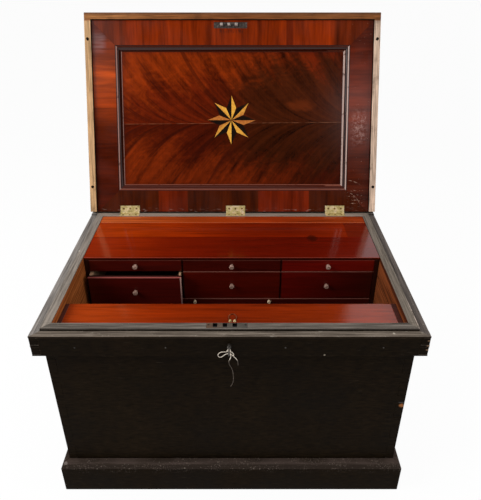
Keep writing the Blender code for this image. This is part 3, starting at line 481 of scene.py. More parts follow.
def add_skin(bm, rings, closed=False):
    """Faces between rings of points, with ends unless the rings close."""
    rings = [[bm.verts.new(point) for point in ring] for ring in rings]
    sides = len(rings[0])
    pairs = list(zip(rings, rings[1:]))
    if closed:
        first, last = rings[0], rings[-1]
        shift = min(range(sides), key=lambda step: (first[step].co - last[0].co).length)
        pairs.append((last, first[shift:] + first[:shift]))
    else:
        bm.faces.new(rings[0][::-1])
        bm.faces.new(rings[-1])
    for low, high in pairs:
        for step in range(sides):
            following = (step + 1) % sides
            bm.faces.new((low[step], low[following], high[following], high[step]))


def turns(steps):
    """Angles spread evenly round a full turn."""
    return [2 * pi * step / steps for step in range(steps)]


def circle(centre, side, across, radius, sides):
    return [centre + radius * (cos(turn) * side + sin(turn) * across) for turn in turns(sides)]


def add_ring(bm, points, radius, sides=8):
    """A round tube along a closed line of points."""
    points = [Vector(point) for point in points]
    rings = []
    side = None
    for place, point in enumerate(points):
        along = (points[(place + 1) % len(points)] - points[place - 1]).normalized()
        side = side or along.orthogonal()
        side = (side - side.dot(along) * along).normalized()
        rings.append(circle(point, side, along.cross(side), radius, sides))
    add_skin(bm, rings, closed=True)


def add_turning(bm, place, axis, profile, sides):
    """A turned solid: (height, radius) steps along an axis from a place."""
    axis = Vector(axis).normalized()
    side = axis.orthogonal().normalized()
    add_skin(bm, [circle(Vector(place) + height * axis, side, axis.cross(side), radius, sides)
                  for height, radius in profile])


def add_screw(bm, place, axis, size, turn):
    """A countersunk screw's head: a low disc with two raised halves beside its slot, turned as it stopped."""
    radius, proud = size
    axis = Vector(axis).normalized()
    side = Matrix.Rotation(turn, 3, axis) @ axis.orthogonal().normalized()
    across = axis.cross(side)
    centre = Vector(place)
    foot = SCREW_FOOT_SHARE * proud
    add_turning(bm, centre, axis, ((0, radius), (foot, radius)), 2 * SCREW_STEPS)
    start = asin(SCREW_SLOT_SHARE)
    for sign in (1, -1):
        arc = [cos(angle) * side + sign * sin(angle) * across
               for angle in np.linspace(start, pi - start, SCREW_STEPS)]
        add_skin(bm, [[centre + foot * axis + radius * ray for ray in arc],
                      [centre + proud * axis + SCREW_TOP_SHARE * radius * ray for ray in arc]])


def plain_paint(g, cloud):
    """Dark paint, cloudy and brushed level, with pale scuffs."""
    base = g.ramp(cloud, (0.3, (17, 11, 5)), (0.52, (22, 15, 7)), (0.72, (28, 20, 11)))
    base = g.shade(base, g.noise((40, 40, 260), 4, 0.65), 3)
    scuff = g.noise(1, 2, vector=g.stretch((30, 30, 420), turn=(0, 0.15, 0)))
    return g.over(base, (70, 60, 50), g.span(scuff, 0.7, 0.76), 0.45)


def worn_tops(g, on_wall, sideways, streak):
    """Grey wood on the level faces, where the paint is rubbed off: the walls' tops and the skirt's."""
    x, y, _ = g.axes()
    front = g.ramp(streak, (0.3, (62, 57, 52)), (0.5, (96, 89, 82)), (0.7, (130, 122, 113)))
    level = g.mix(g.span(y, 0, 0.1), front, g.shade((136, 121, 109), streak, 2.4))
    side = g.shade(g.run(x, -0.4, 0.4, (126, 117, 108), (110, 101, 91)), streak, 2.8)
    skirt = g.ramp(streak, (0.3, (62, 54, 48)), (0.5, (98, 88, 78)), (0.7, (136, 124, 112)))
    skirt = g.over(skirt, (150, 140, 128), g.marks((45, 110, 110), 3, 0.62, 0.72), 0.7)
    skirt_side = g.shade(g.run(x, -0.4, 0.4, (124, 118, 113), (92, 84, 79)), streak, 2.8)
    return g.mix(sideways, g.mix(on_wall, skirt, level), g.mix(on_wall, skirt_side, side))


def worn_plinth(g, up):
    """Pale grit in patches on the plinth's chamfer, and a pale line along its top: partly rubbed paint,
    partly a painted highlight.
    """
    z = g.axes()[2]
    sloping = g.span(up, 0.1, 0.3)
    below = g.span(z, PLINTH_TOP + 0.002, PLINTH_TOP)
    face = g.most(sloping, g.span(z, 0.065, 0.085, 0, 0.5))
    patches = g.marks((16, 16, 60), 3, 0.4, 0.62)
    g.lay((126, 112, 102), g.marks(300, 2, 0.56, 0.68), below, face, patches, 0.65)
    # The crest line: rubbed paint and a painted highlight together.
    crest = g.within(z, PLINTH_TOP - 0.007, PLINTH_TOP + 0.001, 0.0015)
    broken = g.span(g.noise(vector=g.stretch((9, 9, 90), (3, 0, 0))), 0.36, 0.6)
    g.lay((88, 74, 68), crest, sloping, broken, 0.38)


def bare_boards(g):
    """The end walls' bare insides: brown boards, with darker lines and an open joint on the right."""
    x, _, z = g.axes()
    board = g.grain(1, 0.006, 0.22, 11, 1.2)
    fine = g.grain(1, 0.0014, 0.06, 2)
    bare = g.ramp(g.plus(g.all(board, 0.65), g.all(fine, 0.35)),
                  (0.36, (70, 28, 10)), (0.5, (138, 74, 34)), (0.64, (178, 106, 56)))
    lines = g.span(g.grain(1, 0.011, 0.6, 17, 1.5), 0.52, 0.62)
    right = g.over(g.shade((112, 58, 30), board, 3), (46, 18, 8), lines, 0.75)
    right = g.over(right, (50, 21, 11), g.span(z, 0.542, 0.556, 0, 0.85))
    bare = g.over(bare, right, g.span(x, 0.35, 0.42))
    return g.over(bare, (26, 10, 5), g.within(z, 0.4965, 0.4995, 0.0008), g.span(x, 0.4, 0.41))


def paint_material():
    """Old black paint: matt, rubbed to grey on the top faces, and bare brown boards inside the chest."""
    g = Graph("black_paint")
    x, y, z = g.axes()
    wide = g.size(x)
    deep = g.size(y)
    up = g.facing((0, 0, 1))
    upper = g.span(z, 0.49, 0.5)
    on_wall = g.span(z, RIM - 0.004, RIM - 0.0032)
    sideways = g.span(g.less(g.less(wide, INNER_WIDTH), g.less(deep, INNER_DEPTH)), -0.002, 0.002)
    streak = g.choose(sideways, g.grain(0, 0.0035, 0.1, 3), g.grain(1, 0.0035, 0.1, 7))
    cloud = g.noise(5, 5, 0.6)
    g.colour = plain_paint(g, cloud)
    g.lay((62, 52, 46), g.span(up, 0.15, 0.3), g.span(z, 0.2, 0.15), 0.45)
    level = g.all(g.span(up, 0.8, 0.97), g.within(z, 0.495, 0.6, 0.005))
    arris = g.all(g.within(z, RIM - 0.0028, RIM + 0.001, 0.0006), 0.8)
    g.lay(worn_tops(g, on_wall, sideways, streak), g.most(level, arris))
    # Painted highlight: a pale line on the right wall's top outer arris, near the front corner.
    corner = g.all(g.within(x, CARCASE_WIDTH - 0.0026, CARCASE_WIDTH + 0.001, 0.0008), on_wall,
                   g.within(y, -0.31, -0.2, 0.05), g.marks(70, 3, 0.35, 0.55))
    g.lay((190, 172, 160), corner, 0.8)
    g.lay((150, 140, 126), g.marks(260, 2, 0.68, 0.75), g.span(up, 0.1, 0.5))
    worn_plinth(g, up)
    # A pale line just under the skirt's top edge, round its upright faces: partly rubbed paint, partly a
    # painted highlight.
    ledge = g.all(g.within(z, SKIRT_TOP - 0.0042, SKIRT_TOP - 0.0026, 0.0006), g.span(up, 0.3, 0.1))
    g.lay((70, 56, 44), ledge, 0.4)
    g.lay((96, 76, 60), g.edges(0.0014), g.marks(45, 4, 0.46, 0.66), upper)
    for place, radius, ragged, tint in PAINT_CHIPS:
        g.lay(tint, g.spot(place, radius, ragged))
    nick = g.all(g.within(z, NICK_HEIGHT - 0.001, NICK_HEIGHT + 0.001, 0.0006), g.span(x, 0.43, 0.437),
                 g.span(y, -0.29, -0.3))
    g.lay((86, 84, 84), nick, 0.8)
    for height in DOVETAIL_HEIGHTS:
        tail = g.all(g.within(z, height - 0.0012, height + 0.0012, 0.0006), g.span(x, 0.462, 0.4655),
                     g.span(y, -0.31, -0.315))
        g.lay((150, 120, 95), tail)
    inside = g.all(g.span(wide, INNER_WIDTH + 0.0012, INNER_WIDTH + 0.0004),
                   g.span(deep, INNER_DEPTH + 0.0012, INNER_DEPTH + 0.0004),
                   g.span(z, RIM - 0.0009, RIM - 0.0013))
    g.lay(bare_boards(g), inside)
    return g.finish(g.span(cloud, 0.3, 0.7, 0.55, 0.7), 0.03, normal=g.bump(streak, 0.0003, 0.4))


def rim_material():
    """Bare tan wood on the edges that meet the skirt, and the chest's paint on the other faces."""
    g = Graph("bare_rim")
    x, out, proud = g.lid()
    g.place = g.vector(x, out, proud)
    level = g.span(out, 0.606, 0.609)
    streak = g.choose(level, g.noise((300, 14, 300)), g.noise((14, 300, 300)))
    upright_tan = g.run(x, -0.46, 0.46, (174, 138, 100), (184, 158, 138))
    level_tan = g.run(x, -0.45, 0.25, (150, 100, 58), (122, 75, 40), (108, 63, 33), (114, 70, 38))
    level_tan = g.over(level_tan, (96, 62, 42), g.span(out, 0.622, 0.63))
    level_tan = g.over(level_tan, (150, 100, 68), g.span(out, 0.6135, 0.6115), 0.6)
    g.colour = g.shade(g.mix(level, upright_tan, level_tan), streak, 2.4)
    g.lay((62, 38, 24), g.marks(16, 5, 0.52, 0.72, 0.65), 0.55)
    g.lay((70, 44, 30), g.edges(0.0022), 0.5)
    # Painted shade round each hole, so that the hole's dark reads wider.
    for hole in RIM_HOLES:
        g.lay((24, 15, 10), g.span(g.oval(g.size(x), out, hole, RIM_HOLE_SHADE), 1.2, 0.8))
    g.colour = g.mix(g.span(g.facing(LID_INWARD), 0.7, 0.85), (20, 14, 11), g.colour)
    return g.finish(0.6, 0.05, normal=g.bump(streak, 0.0003, 0.5))


def band_ends(g, x, out):
    """The banding above and below the panel, of pieces laid side by side, and its figure."""
    broad = g.noise(1, 3, 0.6, 0.8, g.stretch((12, 3, 1), (2, 0, 0)))
    stripe = g.noise((34, 2.2, 1), 3, 0.6, 0.4)
    fine = g.noise((150, 9, 1))
    figure = g.plus(g.all(fine, 0.25), g.all(stripe, 0.45), g.all(broad, 0.3))
    top = g.mix(g.within(x, -0.345, 0.325, 0.008), (88, 28, 6), (117, 35, 2))
    top = g.over(top, (84, 22, 4), g.within(x, 0.172, 0.194, 0.003), 0.75)
    redder = g.most(g.all(g.within(x, -0.245, -0.15, 0.002), 0.8), g.within(x, 0.084, 0.252, 0.002))
    bottom = g.mix(redder, (60, 18, 2), (94, 24, 3))
    return g.shade(g.mix(g.span(out, 0.3, 0.301), bottom, top), figure, 4.4), figure


def band_flanks(g, x, out):
    """The banding at the panel's two sides, and its fine grain."""
    flow = g.noise(1, 3, 0.6, 0.5, g.stretch((3, 26, 1), turn=(0, 0, 0.12)))
    fine = g.noise((9, 150, 1))
    left = g.run(out, 0.2, 0.59, (66, 16, 2), (75, 21, 2), (138, 48, 6), (148, 55, 6), (116, 40, 8),
                 (78, 22, 6))
    right = g.run(out, 0.1, 0.59, (74, 24, 9), (76, 24, 9), (100, 34, 14), (84, 26, 10), (70, 22, 9))
    figure = g.plus(g.all(fine, 0.3), g.all(flow, 0.7))
    return g.shade(g.mix(g.span(x, -0.01, 0.01), left, right), figure, 3.4), fine


def band_moulding(g, x, inner, above, below):
    """The dark moulding round the panel, with painted highlights along its beads, and painted light and shade
    that differ by side.
    """
    # Painted highlight colours for the beads: pale on the left, brightest on the right, softer on the bottom,
    # and dark as shade on the top.
    worn = g.run(x, -0.38, 0.38, (138, 106, 98), (112, 62, 48), (186, 160, 150))
    worn = g.mix(above, g.mix(below, worn, (116, 66, 52)), (64, 28, 18))
    broad = g.all(g.within(inner, -0.022, -0.015, 0.0006), g.span(x, 0.3, 0.31))
    beads = g.most(g.within(inner, -0.0068, -0.0028, 0.0008), g.within(inner, -0.022, -0.0186, 0.0006), broad)
    # Painted light: the bottom moulding is lighter than the other three.
    dark = g.mix(below, (40, 11, 4), (64, 22, 12))
    return g.over(dark, worn, beads, g.marks(60, 4, 0.24, 0.42))


def band_marks(g, x, out):
    """Marks of use on the banding: a scraped corner, scratches, dust, a gouge and pale flecks, and a painted
    hazy reflection on the right flank.
    """
    scrape = g.noise(1, 3, 0.7, 0.6, g.stretch((40, 260, 1), turn=(0, 0, 0.7)))
    corner = g.all(g.within(x, 0.375, 0.43, 0.012), g.within(out, 0.02, 0.075, 0.012))
    g.lay((170, 135, 115), g.span(scrape, 0.61, 0.66), corner)
    for centre, radius in BAND_SCRATCHES:
        ring = g.math("SQRT", g.oval(x, out, centre, (radius, radius)))
        line = g.all(g.span(g.size(g.less(ring, 1)), 0.013, 0.005), g.within(x, 0.384, 0.418, 0.006))
        g.lay((176, 138, 118), line, g.marks(90, 3, 0.38, 0.55), 0.7)
    # Painted reflection: a pale haze on the right flank, about its middle.
    reflected_haze = g.all(g.within(x, 0.39, 0.432, 0.014), g.within(out, 0.235, 0.32, 0.03))
    g.lay((176, 138, 128), reflected_haze, g.marks(85, 4, 0.42, 0.68, 0.7), 0.5)
    dust = g.all(g.span(out, 0.018, 0.004), g.marks((50, 160, 1), 3, 0.56, 0.7))
    g.lay((170, 140, 128), dust, 0.4)
    gouge = g.all(g.within(x, -0.045, 0.034, 0.006), g.within(out, 0.572, 0.589, 0.004))
    g.lay((46, 22, 16), gouge, g.marks((520, 70, 1), 3, 0.48, 0.62), 0.75)
    g.lay((200, 170, 150), g.marks(210, 2, 0.725, 0.77), g.span(x, 0.36, 0.4))


def band_material():
    """Cross-banded mahogany round the lid's panel, its grain running out from the panel on every side."""
    g = Graph("cross_banding")
    x, out, _ = g.lid()
    g.place = g.vector(x, out)
    beyond_side = g.less(g.size(x), MOULDING_WIDTH)
    beyond_top = g.less(out, MOULDING_TOP)
    beyond_bottom = g.less(MOULDING_BOTTOM, out)
    inner = g.most(beyond_side, beyond_top, beyond_bottom)
    mitre = g.less(beyond_side, g.most(beyond_top, beyond_bottom))
    side = g.span(mitre, -0.0005, 0.0005)
    ends, figure = band_ends(g, x, out)
    flanks, fine = band_flanks(g, x, out)
    g.colour = g.mix(side, ends, flanks)
    seam = g.all(g.span(g.size(mitre), 0.0008, 0.0003), g.span(beyond_side, -0.001, 0.001))
    g.lay((44, 10, 5), seam, 0.35)
    # Painted reflection: a pale hazy sheen on the left flank near its top.
    painted_sheen = g.all(g.within(x, -0.452, -0.41, 0.012), g.within(out, 0.515, 0.572, 0.014), side)
    g.lay((122, 98, 98), painted_sheen, g.span(fine, 0.3, 0.6), 0.5)
    level = g.span(mitre, 0, -0.002)
    above = g.all(g.span(beyond_top, -0.03, -0.02), level)
    below = g.all(g.span(beyond_bottom, -0.03, -0.02), level)
    on_moulding = g.span(inner, 0.0005, -0.0005)
    g.lay(band_moulding(g, x, inner, above, below), on_moulding)
    band_marks(g, x, out)
    edge = g.all(g.span(g.facing(LID_INWARD), 0.5, 0.3), g.span(inner, 0.01, 0.012))
    g.lay((20, 14, 11), edge)
    polish = g.span(g.noise(12, 3), 0.3, 0.7, 0.14, 0.24)
    return g.finish(g.choose(on_moulding, polish, 0.09), 0.35, normal=g.bump(figure, 0.00006))


def flame_material():
    """Figured mahogany, two leaves opened like a book about one joint: feathered flames sweep out from it."""
    g = Graph("flame_mahogany")
    x, out, _ = g.lid()
    g.place = g.vector(x, out)
    rise = g.less(out, g.plus(g.all(x, VENEER_JOINT_SLOPE), VENEER_JOINT))
    away = g.size(rise)
    upper = g.span(rise, -0.0005, 0.0005)
    feather = g.plus(x, g.all(g.math("SQRT", away), 0.56))
    flow = g.vector(feather, away, g.all(upper, 3.7))
    tongue = g.noise((13, 2.5, 1), 4, 0.6, 0.3, flow)
    streak = g.noise((36, 6, 1), 4, 0.55, 0.5, flow)
    hair = g.noise((150, 18, 1), 3, vector=flow)
    mottle = g.noise((26, 34, 1), 4, 0.6, 1.6)
    rib = g.noise((240, 9, 1), 3)
    edge_top = g.plus(g.all(x, 0.2), 0.155)
    edge_low = g.plus(g.all(x, 0.14), 0.122)
    lick = g.plus(g.all(g.less(tongue, 0.5), 0.36), g.all(g.less(mottle, 0.5), 0.12))
    glow = g.span(g.less(g.plus(away, lick), g.choose(upper, edge_low, edge_top)), -0.06, 0.065)
    orange = g.mix(upper, g.run(x, -0.3, 0.3, (99, 30, 3), (94, 28, 3), (60, 14, 2)),
                   g.run(x, -0.3, 0.3, (117, 38, 4), (115, 37, 3), (92, 25, 4)))
    red = g.mix(upper, (66, 15, 2), (86, 22, 3))
    brown = g.mix(upper, (51, 17, 3), (59, 21, 5))
    dark = g.mix(g.span(g.plus(x, g.all(tongue, 0.2)), -0.02, 0.2), red, brown)
    value = g.plus(g.all(streak, 0.5), g.all(mottle, 0.22), g.all(hair, 0.18), g.all(rib, 0.1))
    g.colour = g.shade(g.mix(glow, dark, orange), value, 4.6)
    wisp = g.noise(1, 3, 0.5, 0.4, g.stretch((26, 3, 1), (4, 0, 0), vector=flow))
    g.lay((46, 10, 3), g.span(wisp, 0.54, 0.66), g.span(x, 0.05, -0.05), 0.6)
    bright = g.plus(g.oval(x, rise, (0.22, 0.055), (0.055, 0.022)), g.all(g.noise(40, 3, vector=flow), 1.6))
    g.lay((98, 38, 11), g.span(bright, 1.9, 0.7), 0.7)
    broken = g.span(g.noise(28, 3, vector=g.vector(x, 0)), 0.35, 0.6)
    g.lay((132, 84, 58), g.span(away, 0.0011, 0.0004), broken, 0.65)
    # Painted shade: the panel darkens towards the moulding round it, as in the shade of its recess.
    near = g.most(g.less(g.size(x), MOULDING_WIDTH - 0.04), g.less(out, MOULDING_TOP - 0.035),
                  g.less(MOULDING_BOTTOM + 0.035, out))
    g.lay((52, 8, 3), g.span(near, 0, 0.024, 0, 0.4))
    return g.finish(0.16, 0.3, normal=g.bump(hair, 0.00004))


def mahogany(g, colour, along, seed, depth=2.6):
    """A colour with straight mahogany grain laid over it, and the fine grain."""
    broad = g.grain(along, 0.016, 0.3, 1 + seed, 0.8)
    fine = g.grain(along, 0.0022, 0.09, 5 + seed)
    pores = g.grain(along, 0.0008, 0.012, 9 + seed)
    colour = g.shade(colour, g.plus(g.all(broad, 0.55), g.all(fine, 0.45)), depth)
    return g.shade(colour, g.span(pores, 0.6, 0.72, 0.5, 0.3), 1), fine


def till_top_material():
    """Polished mahogany, of two boards: a lighter one behind and a redder one in front, with one knot."""
    g = Graph("till_top")
    x, y, z = g.axes()
    behind = g.run(x, -0.36, 0.36, (152, 48, 4), (142, 40, 2), (112, 24, 1), (104, 21, 1), (126, 32, 5))
    front = g.run(x, -0.36, 0.36, (136, 36, 4), (110, 22, 2), (95, 16, 2), (89, 13, 2), (98, 16, 3))
    behind, fine = mahogany(g, behind, 0, 0, 3)
    front, _ = mahogany(g, front, 0, 3, 1.8)
    is_behind = g.span(y, TILL_JOINT - 0.0012, TILL_JOINT + 0.0012)
    g.colour = g.mix(is_behind, front, behind)
    g.lay((82, 18, 6), g.span(x, 0.352, 0.356), is_behind, 0.6)
    knot = g.plus(g.oval(x, y, TILL_KNOT, TILL_KNOT_SIZE), g.noise(90, 3))
    g.lay((44, 9, 3), g.span(knot, 1.9, 0.7), 0.75)
    g.lay((74, 16, 6), g.span(g.size(g.less(y, TILL_JOINT)), 0.0012, 0.0004), 0.6)
    # A painted highlight along the top's front arris, and the board's faces below its top painted dark.
    front_edge = g.span(y, TILL_FACE + 0.0025, TILL_FACE + 0.001)
    g.lay((150, 66, 46), front_edge, g.span(z, TILL_TOP - 0.002, TILL_TOP - 0.001), 0.3)
    g.lay((50, 8, 3), g.span(z, TILL_TOP - 0.0015, TILL_TOP - 0.0025))
    return g.finish(0.13, normal=g.bump(fine, 0.00004))


def strip_material():
    """The till's narrow rear strip: lighter polished mahogany, with a painted highlight along its front edge.
    """
    g = Graph("till_rear_strip")
    x, y, _ = g.axes()
    colour = g.run(x, -0.4, 0.4, (182, 84, 36), (158, 58, 16), (148, 48, 12), (142, 51, 15))
    g.colour, fine = mahogany(g, colour, 0, 6)
    g.lay((176, 84, 46), g.span(y, STRIP_FRONT + 0.004, STRIP_FRONT + 0.002, 0, 0.7))
    return g.finish(0.15, normal=g.bump(fine, 0.00005))


def cover_material():
    """The saw till's cover: warm polished mahogany, redder towards the middle, with a painted highlight along
    its rear edge and painted shade, matt, on its two ends.
    """
    g = Graph("saw_till_cover")
    x, y, _ = g.axes()
    low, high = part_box("saw_till_cover")
    colour = g.run(x, -0.36, 0.36, (157, 56, 12), (137, 40, 4), (119, 33, 4), (126, 38, 6), (134, 42, 8))
    g.colour, fine = mahogany(g, colour, 0, 8)
    # Painted highlight along the rear edge.
    g.lay((190, 98, 66), g.span(y, high.y - 0.0022, high.y - 0.001), 0.6)
    # Painted shade on both ends, where they meet the walls.
    ends = g.most(g.span(x, high.x - 0.022, high.x - 0.019), g.span(x, low.x + 0.02, low.x + 0.017))
    g.lay((34, 11, 5), ends, 0.85)
    return g.finish(g.choose(ends, 0.12, 0.8), normal=g.bump(fine, 0.00004))


def fitting_material():
    """The boards that hold the drawers, and the floor: dark mahogany, with painted shade at both ends by the
    walls.
    """
    g = Graph("till_boards")
    wide = g.size(g.axes()[0])
    g.colour, fine = mahogany(g, g.run(wide, 0.4, 0.42, (60, 9, 5), (30, 10, 6)), 0, 15)
    return g.finish(0.3, 0.4, normal=g.bump(fine, 0.00008))


def drawer_material(name, left, right):
    """A drawer: a dark polished front with painted shade along its two side edges and a painted highlight on
    its top arris, and bare pale sides that are dark inside.
    """
    g = Graph(name)
    low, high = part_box(name)
    x, y, z = g.axes()
    front, fine = mahogany(g, g.run(x, low.x, high.x, left, right), 0, 20 + low.x)
    # Painted shade along the front's two side edges, where the gaps between drawers fall dark.
    gap_shade = g.most(g.span(x, low.x + 0.0035, low.x + 0.001), g.span(x, high.x - 0.0035, high.x - 0.001))
    front = g.over(front, (16, 5, 4), gap_shade, 0.7)
    pale, _ = mahogany(g, (190, 150, 118), 1, 22)
    inner_left = low.x + DRAWER_WALL
    inner_right = high.x - DRAWER_WALL
    # The sides are dark inside, below their top edges.
    dark_inside = g.all(g.span(x, inner_left, inner_left + 0.0006), g.span(x, inner_right, inner_right - 0.0006),
                   g.span(z, high.z - 0.0005, high.z - 0.0025))
    pale = g.over(pale, (26, 25, 18), dark_inside, 0.9)
    back_of_front = low.y + DRAWER_FRONT
    g.colour = g.mix(g.span(y, back_of_front - 0.0003, back_of_front + 0.0003), front, pale)
    top = g.all(g.span(z, high.z - 0.0022, high.z - 0.0012),
                g.span(y, back_of_front + 0.002, back_of_front + 0.0005))
    # Painted highlight along the front's top arris.
    arris = g.all(top, g.span(y, low.y + 0.0068, low.y + 0.005))
    g.lay((142, 90, 78), arris, 0.2 if "upper" in name else 0.7)
    # The pulled drawer: the top of its front painted dark behind the arris, a brighter painted highlight on
    # the arris, and a painted highlight down the front's right end, brighter towards its top.
    if name == PULLED_DRAWER:
        g.lay((24, 12, 9), top, 0.85)
        g.lay((150, 76, 70), arris, 0.9)
        end = g.all(g.span(x, high.x - 0.0042, high.x - 0.0034), g.span(y, low.y + 0.002, low.y + 0.001))
        g.lay(g.run(z, low.z, high.z, (112, 84, 80), (186, 146, 134)), end)
    return g.finish(0.28, 0.35, normal=g.bump(fine, 0.00006))


def metal_material(name, dark, mid, light, roughness, metallic):
    """Old metal, mottled by handling."""
    g = Graph(name)
    cloud = g.noise(70, 5, 0.65)
    g.colour = g.ramp(cloud, (0.34, dark), (0.5, mid), (0.64, light))
    g.lay(light, g.edges(0.0008), 0.4)
    rough = g.span(cloud, 0.3, 0.7, roughness - 0.08, roughness + 0.1)
    return g.finish(rough, metallic=metallic, normal=g.bump(cloud, 0.0001))


def link_material():
    """The link plate: dark and rubbed along its edges, with staples kept bright by the bolt."""
    g = Graph("link_plate")
    proud = g.lid()[2]
    cloud = g.noise(160, 4, 0.65)
    g.colour = g.ramp(cloud, (0.34, (40, 32, 28)), (0.5, (60, 50, 44)), (0.66, (104, 94, 88)))
    g.lay((140, 128, 120), g.edges(0.001), 0.5)
    bright = g.ramp(cloud, (0.3, (132, 118, 110)), (0.7, (190, 178, 170)))
    g.lay(bright, g.span(proud, FRAME_PROUD + 0.0008, FRAME_PROUD + 0.0016))
    return g.finish(0.42, metallic=0.3)


def lock_material():
    """The lock: its top plate is worn like the wall beside it, with painted shade round its three slots, and
    below the plate it is black.
    """
    g = Graph("lock_case")
    x, y, z = g.axes()
    worn = g.run(x, -0.055, 0.042, (96, 72, 54), (82, 76, 68), (78, 74, 68))
    worn = g.shade(worn, g.grain(0, 0.002, 0.03, 6), 2.4)
    # Painted shade: black round each slot, widening the shade inside it.
    for place in STAPLE_PLACES:
        slot_shade = g.all(g.within(x, place - SLOT_SHADE_REACH, place + SLOT_SHADE_REACH, 0.0004),
                       g.within(y, SLOT_SHADE_FRONT, SLOT_SHADE_BACK, 0.0004))
        worn = g.over(worn, (10, 9, 8), slot_shade)
    g.colour = g.mix(g.span(z, RIM - 0.0012, RIM - 0.0004), (10, 9, 8), worn)
    return g.finish(0.55, metallic=0.2)


def bone_material(name, dark, mid, light):
    """Turned bone with fine darker growth lines."""
    g = Graph(name)
    g.colour = g.ramp(g.grain(1, 0.0012, 0.02, 4), (0.35, dark), (0.5, mid), (0.65, light))
    g.lay((70, 44, 34), g.marks(320, 2, 0.5, 0.62), 0.4)
    return g.finish(0.38, 0.4)


def twine_material():
    """Twisted cotton: dark round the key, clean below the knot and dusty in its tails."""
    g = Graph("cotton_twine")
    z = g.axes()[2]
    twist = g.noise(1, 2, vector=g.stretch((900, 900, 380), turn=(0.5, 0.4, 0)))
    cream = g.ramp(twist, (0.35, (176, 160, 142)), (0.5, (222, 208, 192)), (0.65, (238, 228, 214)))
    dusty = g.ramp(twist, (0.35, (50, 43, 38)), (0.5, (76, 68, 61)), (0.65, (96, 87, 78)))
    g.colour = g.mix(g.span(z, KEY_Z - 0.052, KEY_Z - 0.04), dusty, cream)
    g.lay((34, 28, 23), g.span(z, KEY_Z - 0.0125, KEY_Z - 0.0105))
    return g.finish(0.85, 0.1)


def boxwood_material():
    """Boxwood slips of the star: paler where a ray runs up or down the panel."""
    g = Graph("star_boxwood")
    x, out, _ = g.lid()
    away = g.math("SQRT", g.oval(x, out, STAR_PLACE, (1, 1)))
    upright = g.math("DIVIDE", g.size(g.less(out, STAR_PLACE[1])), away)
    streak = g.noise(160, 3)
    pale = g.ramp(streak, (0.3, (206, 140, 44)), (0.7, (236, 178, 66)))
    deep = g.ramp(streak, (0.3, (158, 84, 30)), (0.7, (190, 116, 46)))
    g.colour = g.mix(g.span(upright, 0.25, 1), deep, pale)
    return g.finish(0.3, 0.4)


def ebony_material():
    """Ebony slips of the star, nearly black."""
    g = Graph("star_ebony")
    g.colour = g.ramp(g.noise(220, 3), (0.35, (14, 8, 5)), (0.65, (26, 14, 9)))
    return g.finish(0.3, 0.15)


def by_key(right, up, out):
    """The world place of a point given right of and above the key's shank, and out from the skirt."""
    return (KEY_PLACE + right, SKIRT_FACE - out, KEY_Z + up)


def make_knot(cotton):
    """The twine's knot, a trefoil, with a bow loop that hangs from it."""
    bm = bmesh.new()
    centre = Vector(by_key(*KNOT_PLACE))
    wide, high, thick = KNOT_SIZE
    trefoil = [Vector((wide * (sin(t) + 2 * sin(2 * t)) / 3, -thick * sin(3 * t),
                       high * (cos(t) - 2 * cos(2 * t)) / 3)) for t in turns(KNOT_STEPS)]
    add_ring(bm, [centre + point for point in trefoil], KNOT_STRAND)
    down = Vector((cos(BOW_SLOPE), 0, -sin(BOW_SLOPE)))
    across = Vector((sin(BOW_SLOPE), 0, cos(BOW_SLOPE)))
    start = centre - Vector((0, BOW_PROUD, 0))
    bow = [start + BOW_LENGTH * sin(t / 2) ** 2 * down + BOW_WIDTH / 2 * sin(t) * across
           for t in turns(KNOT_STEPS)]
    add_ring(bm, bow, KNOT_STRAND)
    return add_piece("key_twine_knot", bm, cotton, "carcase")


def make_twine():
    """The twine on the key, along the route that its solid has."""
    points = smooth_route([by_key(*place) for place in TWINE_ROUTE], TWINE_STEPS)
    data = bpy.data.curves.new("key_twine_cord", "CURVE")
    data.dimensions = "3D"
    data.bevel_depth = TWINE / 2
    data.bevel_resolution = 3
    data.use_fill_caps = True
    spline = data.splines.new("POLY")
    spline.points.add(len(points) - 1)
    for point, place in zip(spline.points, points):
        point.co = (*place, 1)
    cotton = twine_material()
    data.materials.append(cotton)
    cord = add_object("key_twine_cord", data)
    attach(cord, "carcase")
    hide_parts("key_twine")
    knot = make_knot(cotton)


def make_star():
    """Sixteen slips let into the panel: each ray is half boxwood and half ebony."""
    halves = {1: bmesh.new(), -1: bmesh.new()}
    for turn in turns(STAR_RAYS):
        for sign, bm in halves.items():
            corners = [(STAR_PLACE[0] + STAR_RADIUS * (length * sin(turn) + sign * width * cos(turn)),
                        STAR_PLACE[1] + STAR_RADIUS * (length * cos(turn) - sign * width * sin(turn)))
                       for length, width in STAR_OUTLINE]
            add_skin(bm, [[on_lid(*corner, PANEL_PROUD + rise) for corner in corners]
                          for rise in (0, STAR_THICKNESS)])
    add_piece("star_boxwood", halves[1], boxwood_material(), "lid")
    add_piece("star_ebony", halves[-1], ebony_material(), "lid")


def make_hinge_screws(material):
    """Three screws in each hinge leaf."""
    for hinge in ("left", "middle", "right"):
        on_leaf = bmesh.new()
        on_wall = bmesh.new()
        low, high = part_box(f"hinge_{hinge}_lid_leaf")
        middle = (low.x + high.x) / 2
        for step in (-1, 0, 1):
            x = middle + HINGE_STEP * step
            place = on_lid(x, HINGE_OUT, FRAME_PROUD)
            add_screw(on_leaf, place, LID_INWARD, HINGE_SCREW, 0.6 + 1.1 * step)
            add_screw(on_wall, (x, PIN.y - HINGE_SET, RIM), (0, 0, 1), HINGE_SCREW, 0.2 + 0.9 * step)
        add_piece(f"hinge_{hinge}_lid_screws", on_leaf, material, "lid")
        add_piece(f"hinge_{hinge}_carcase_screws", on_wall, material, "carcase")


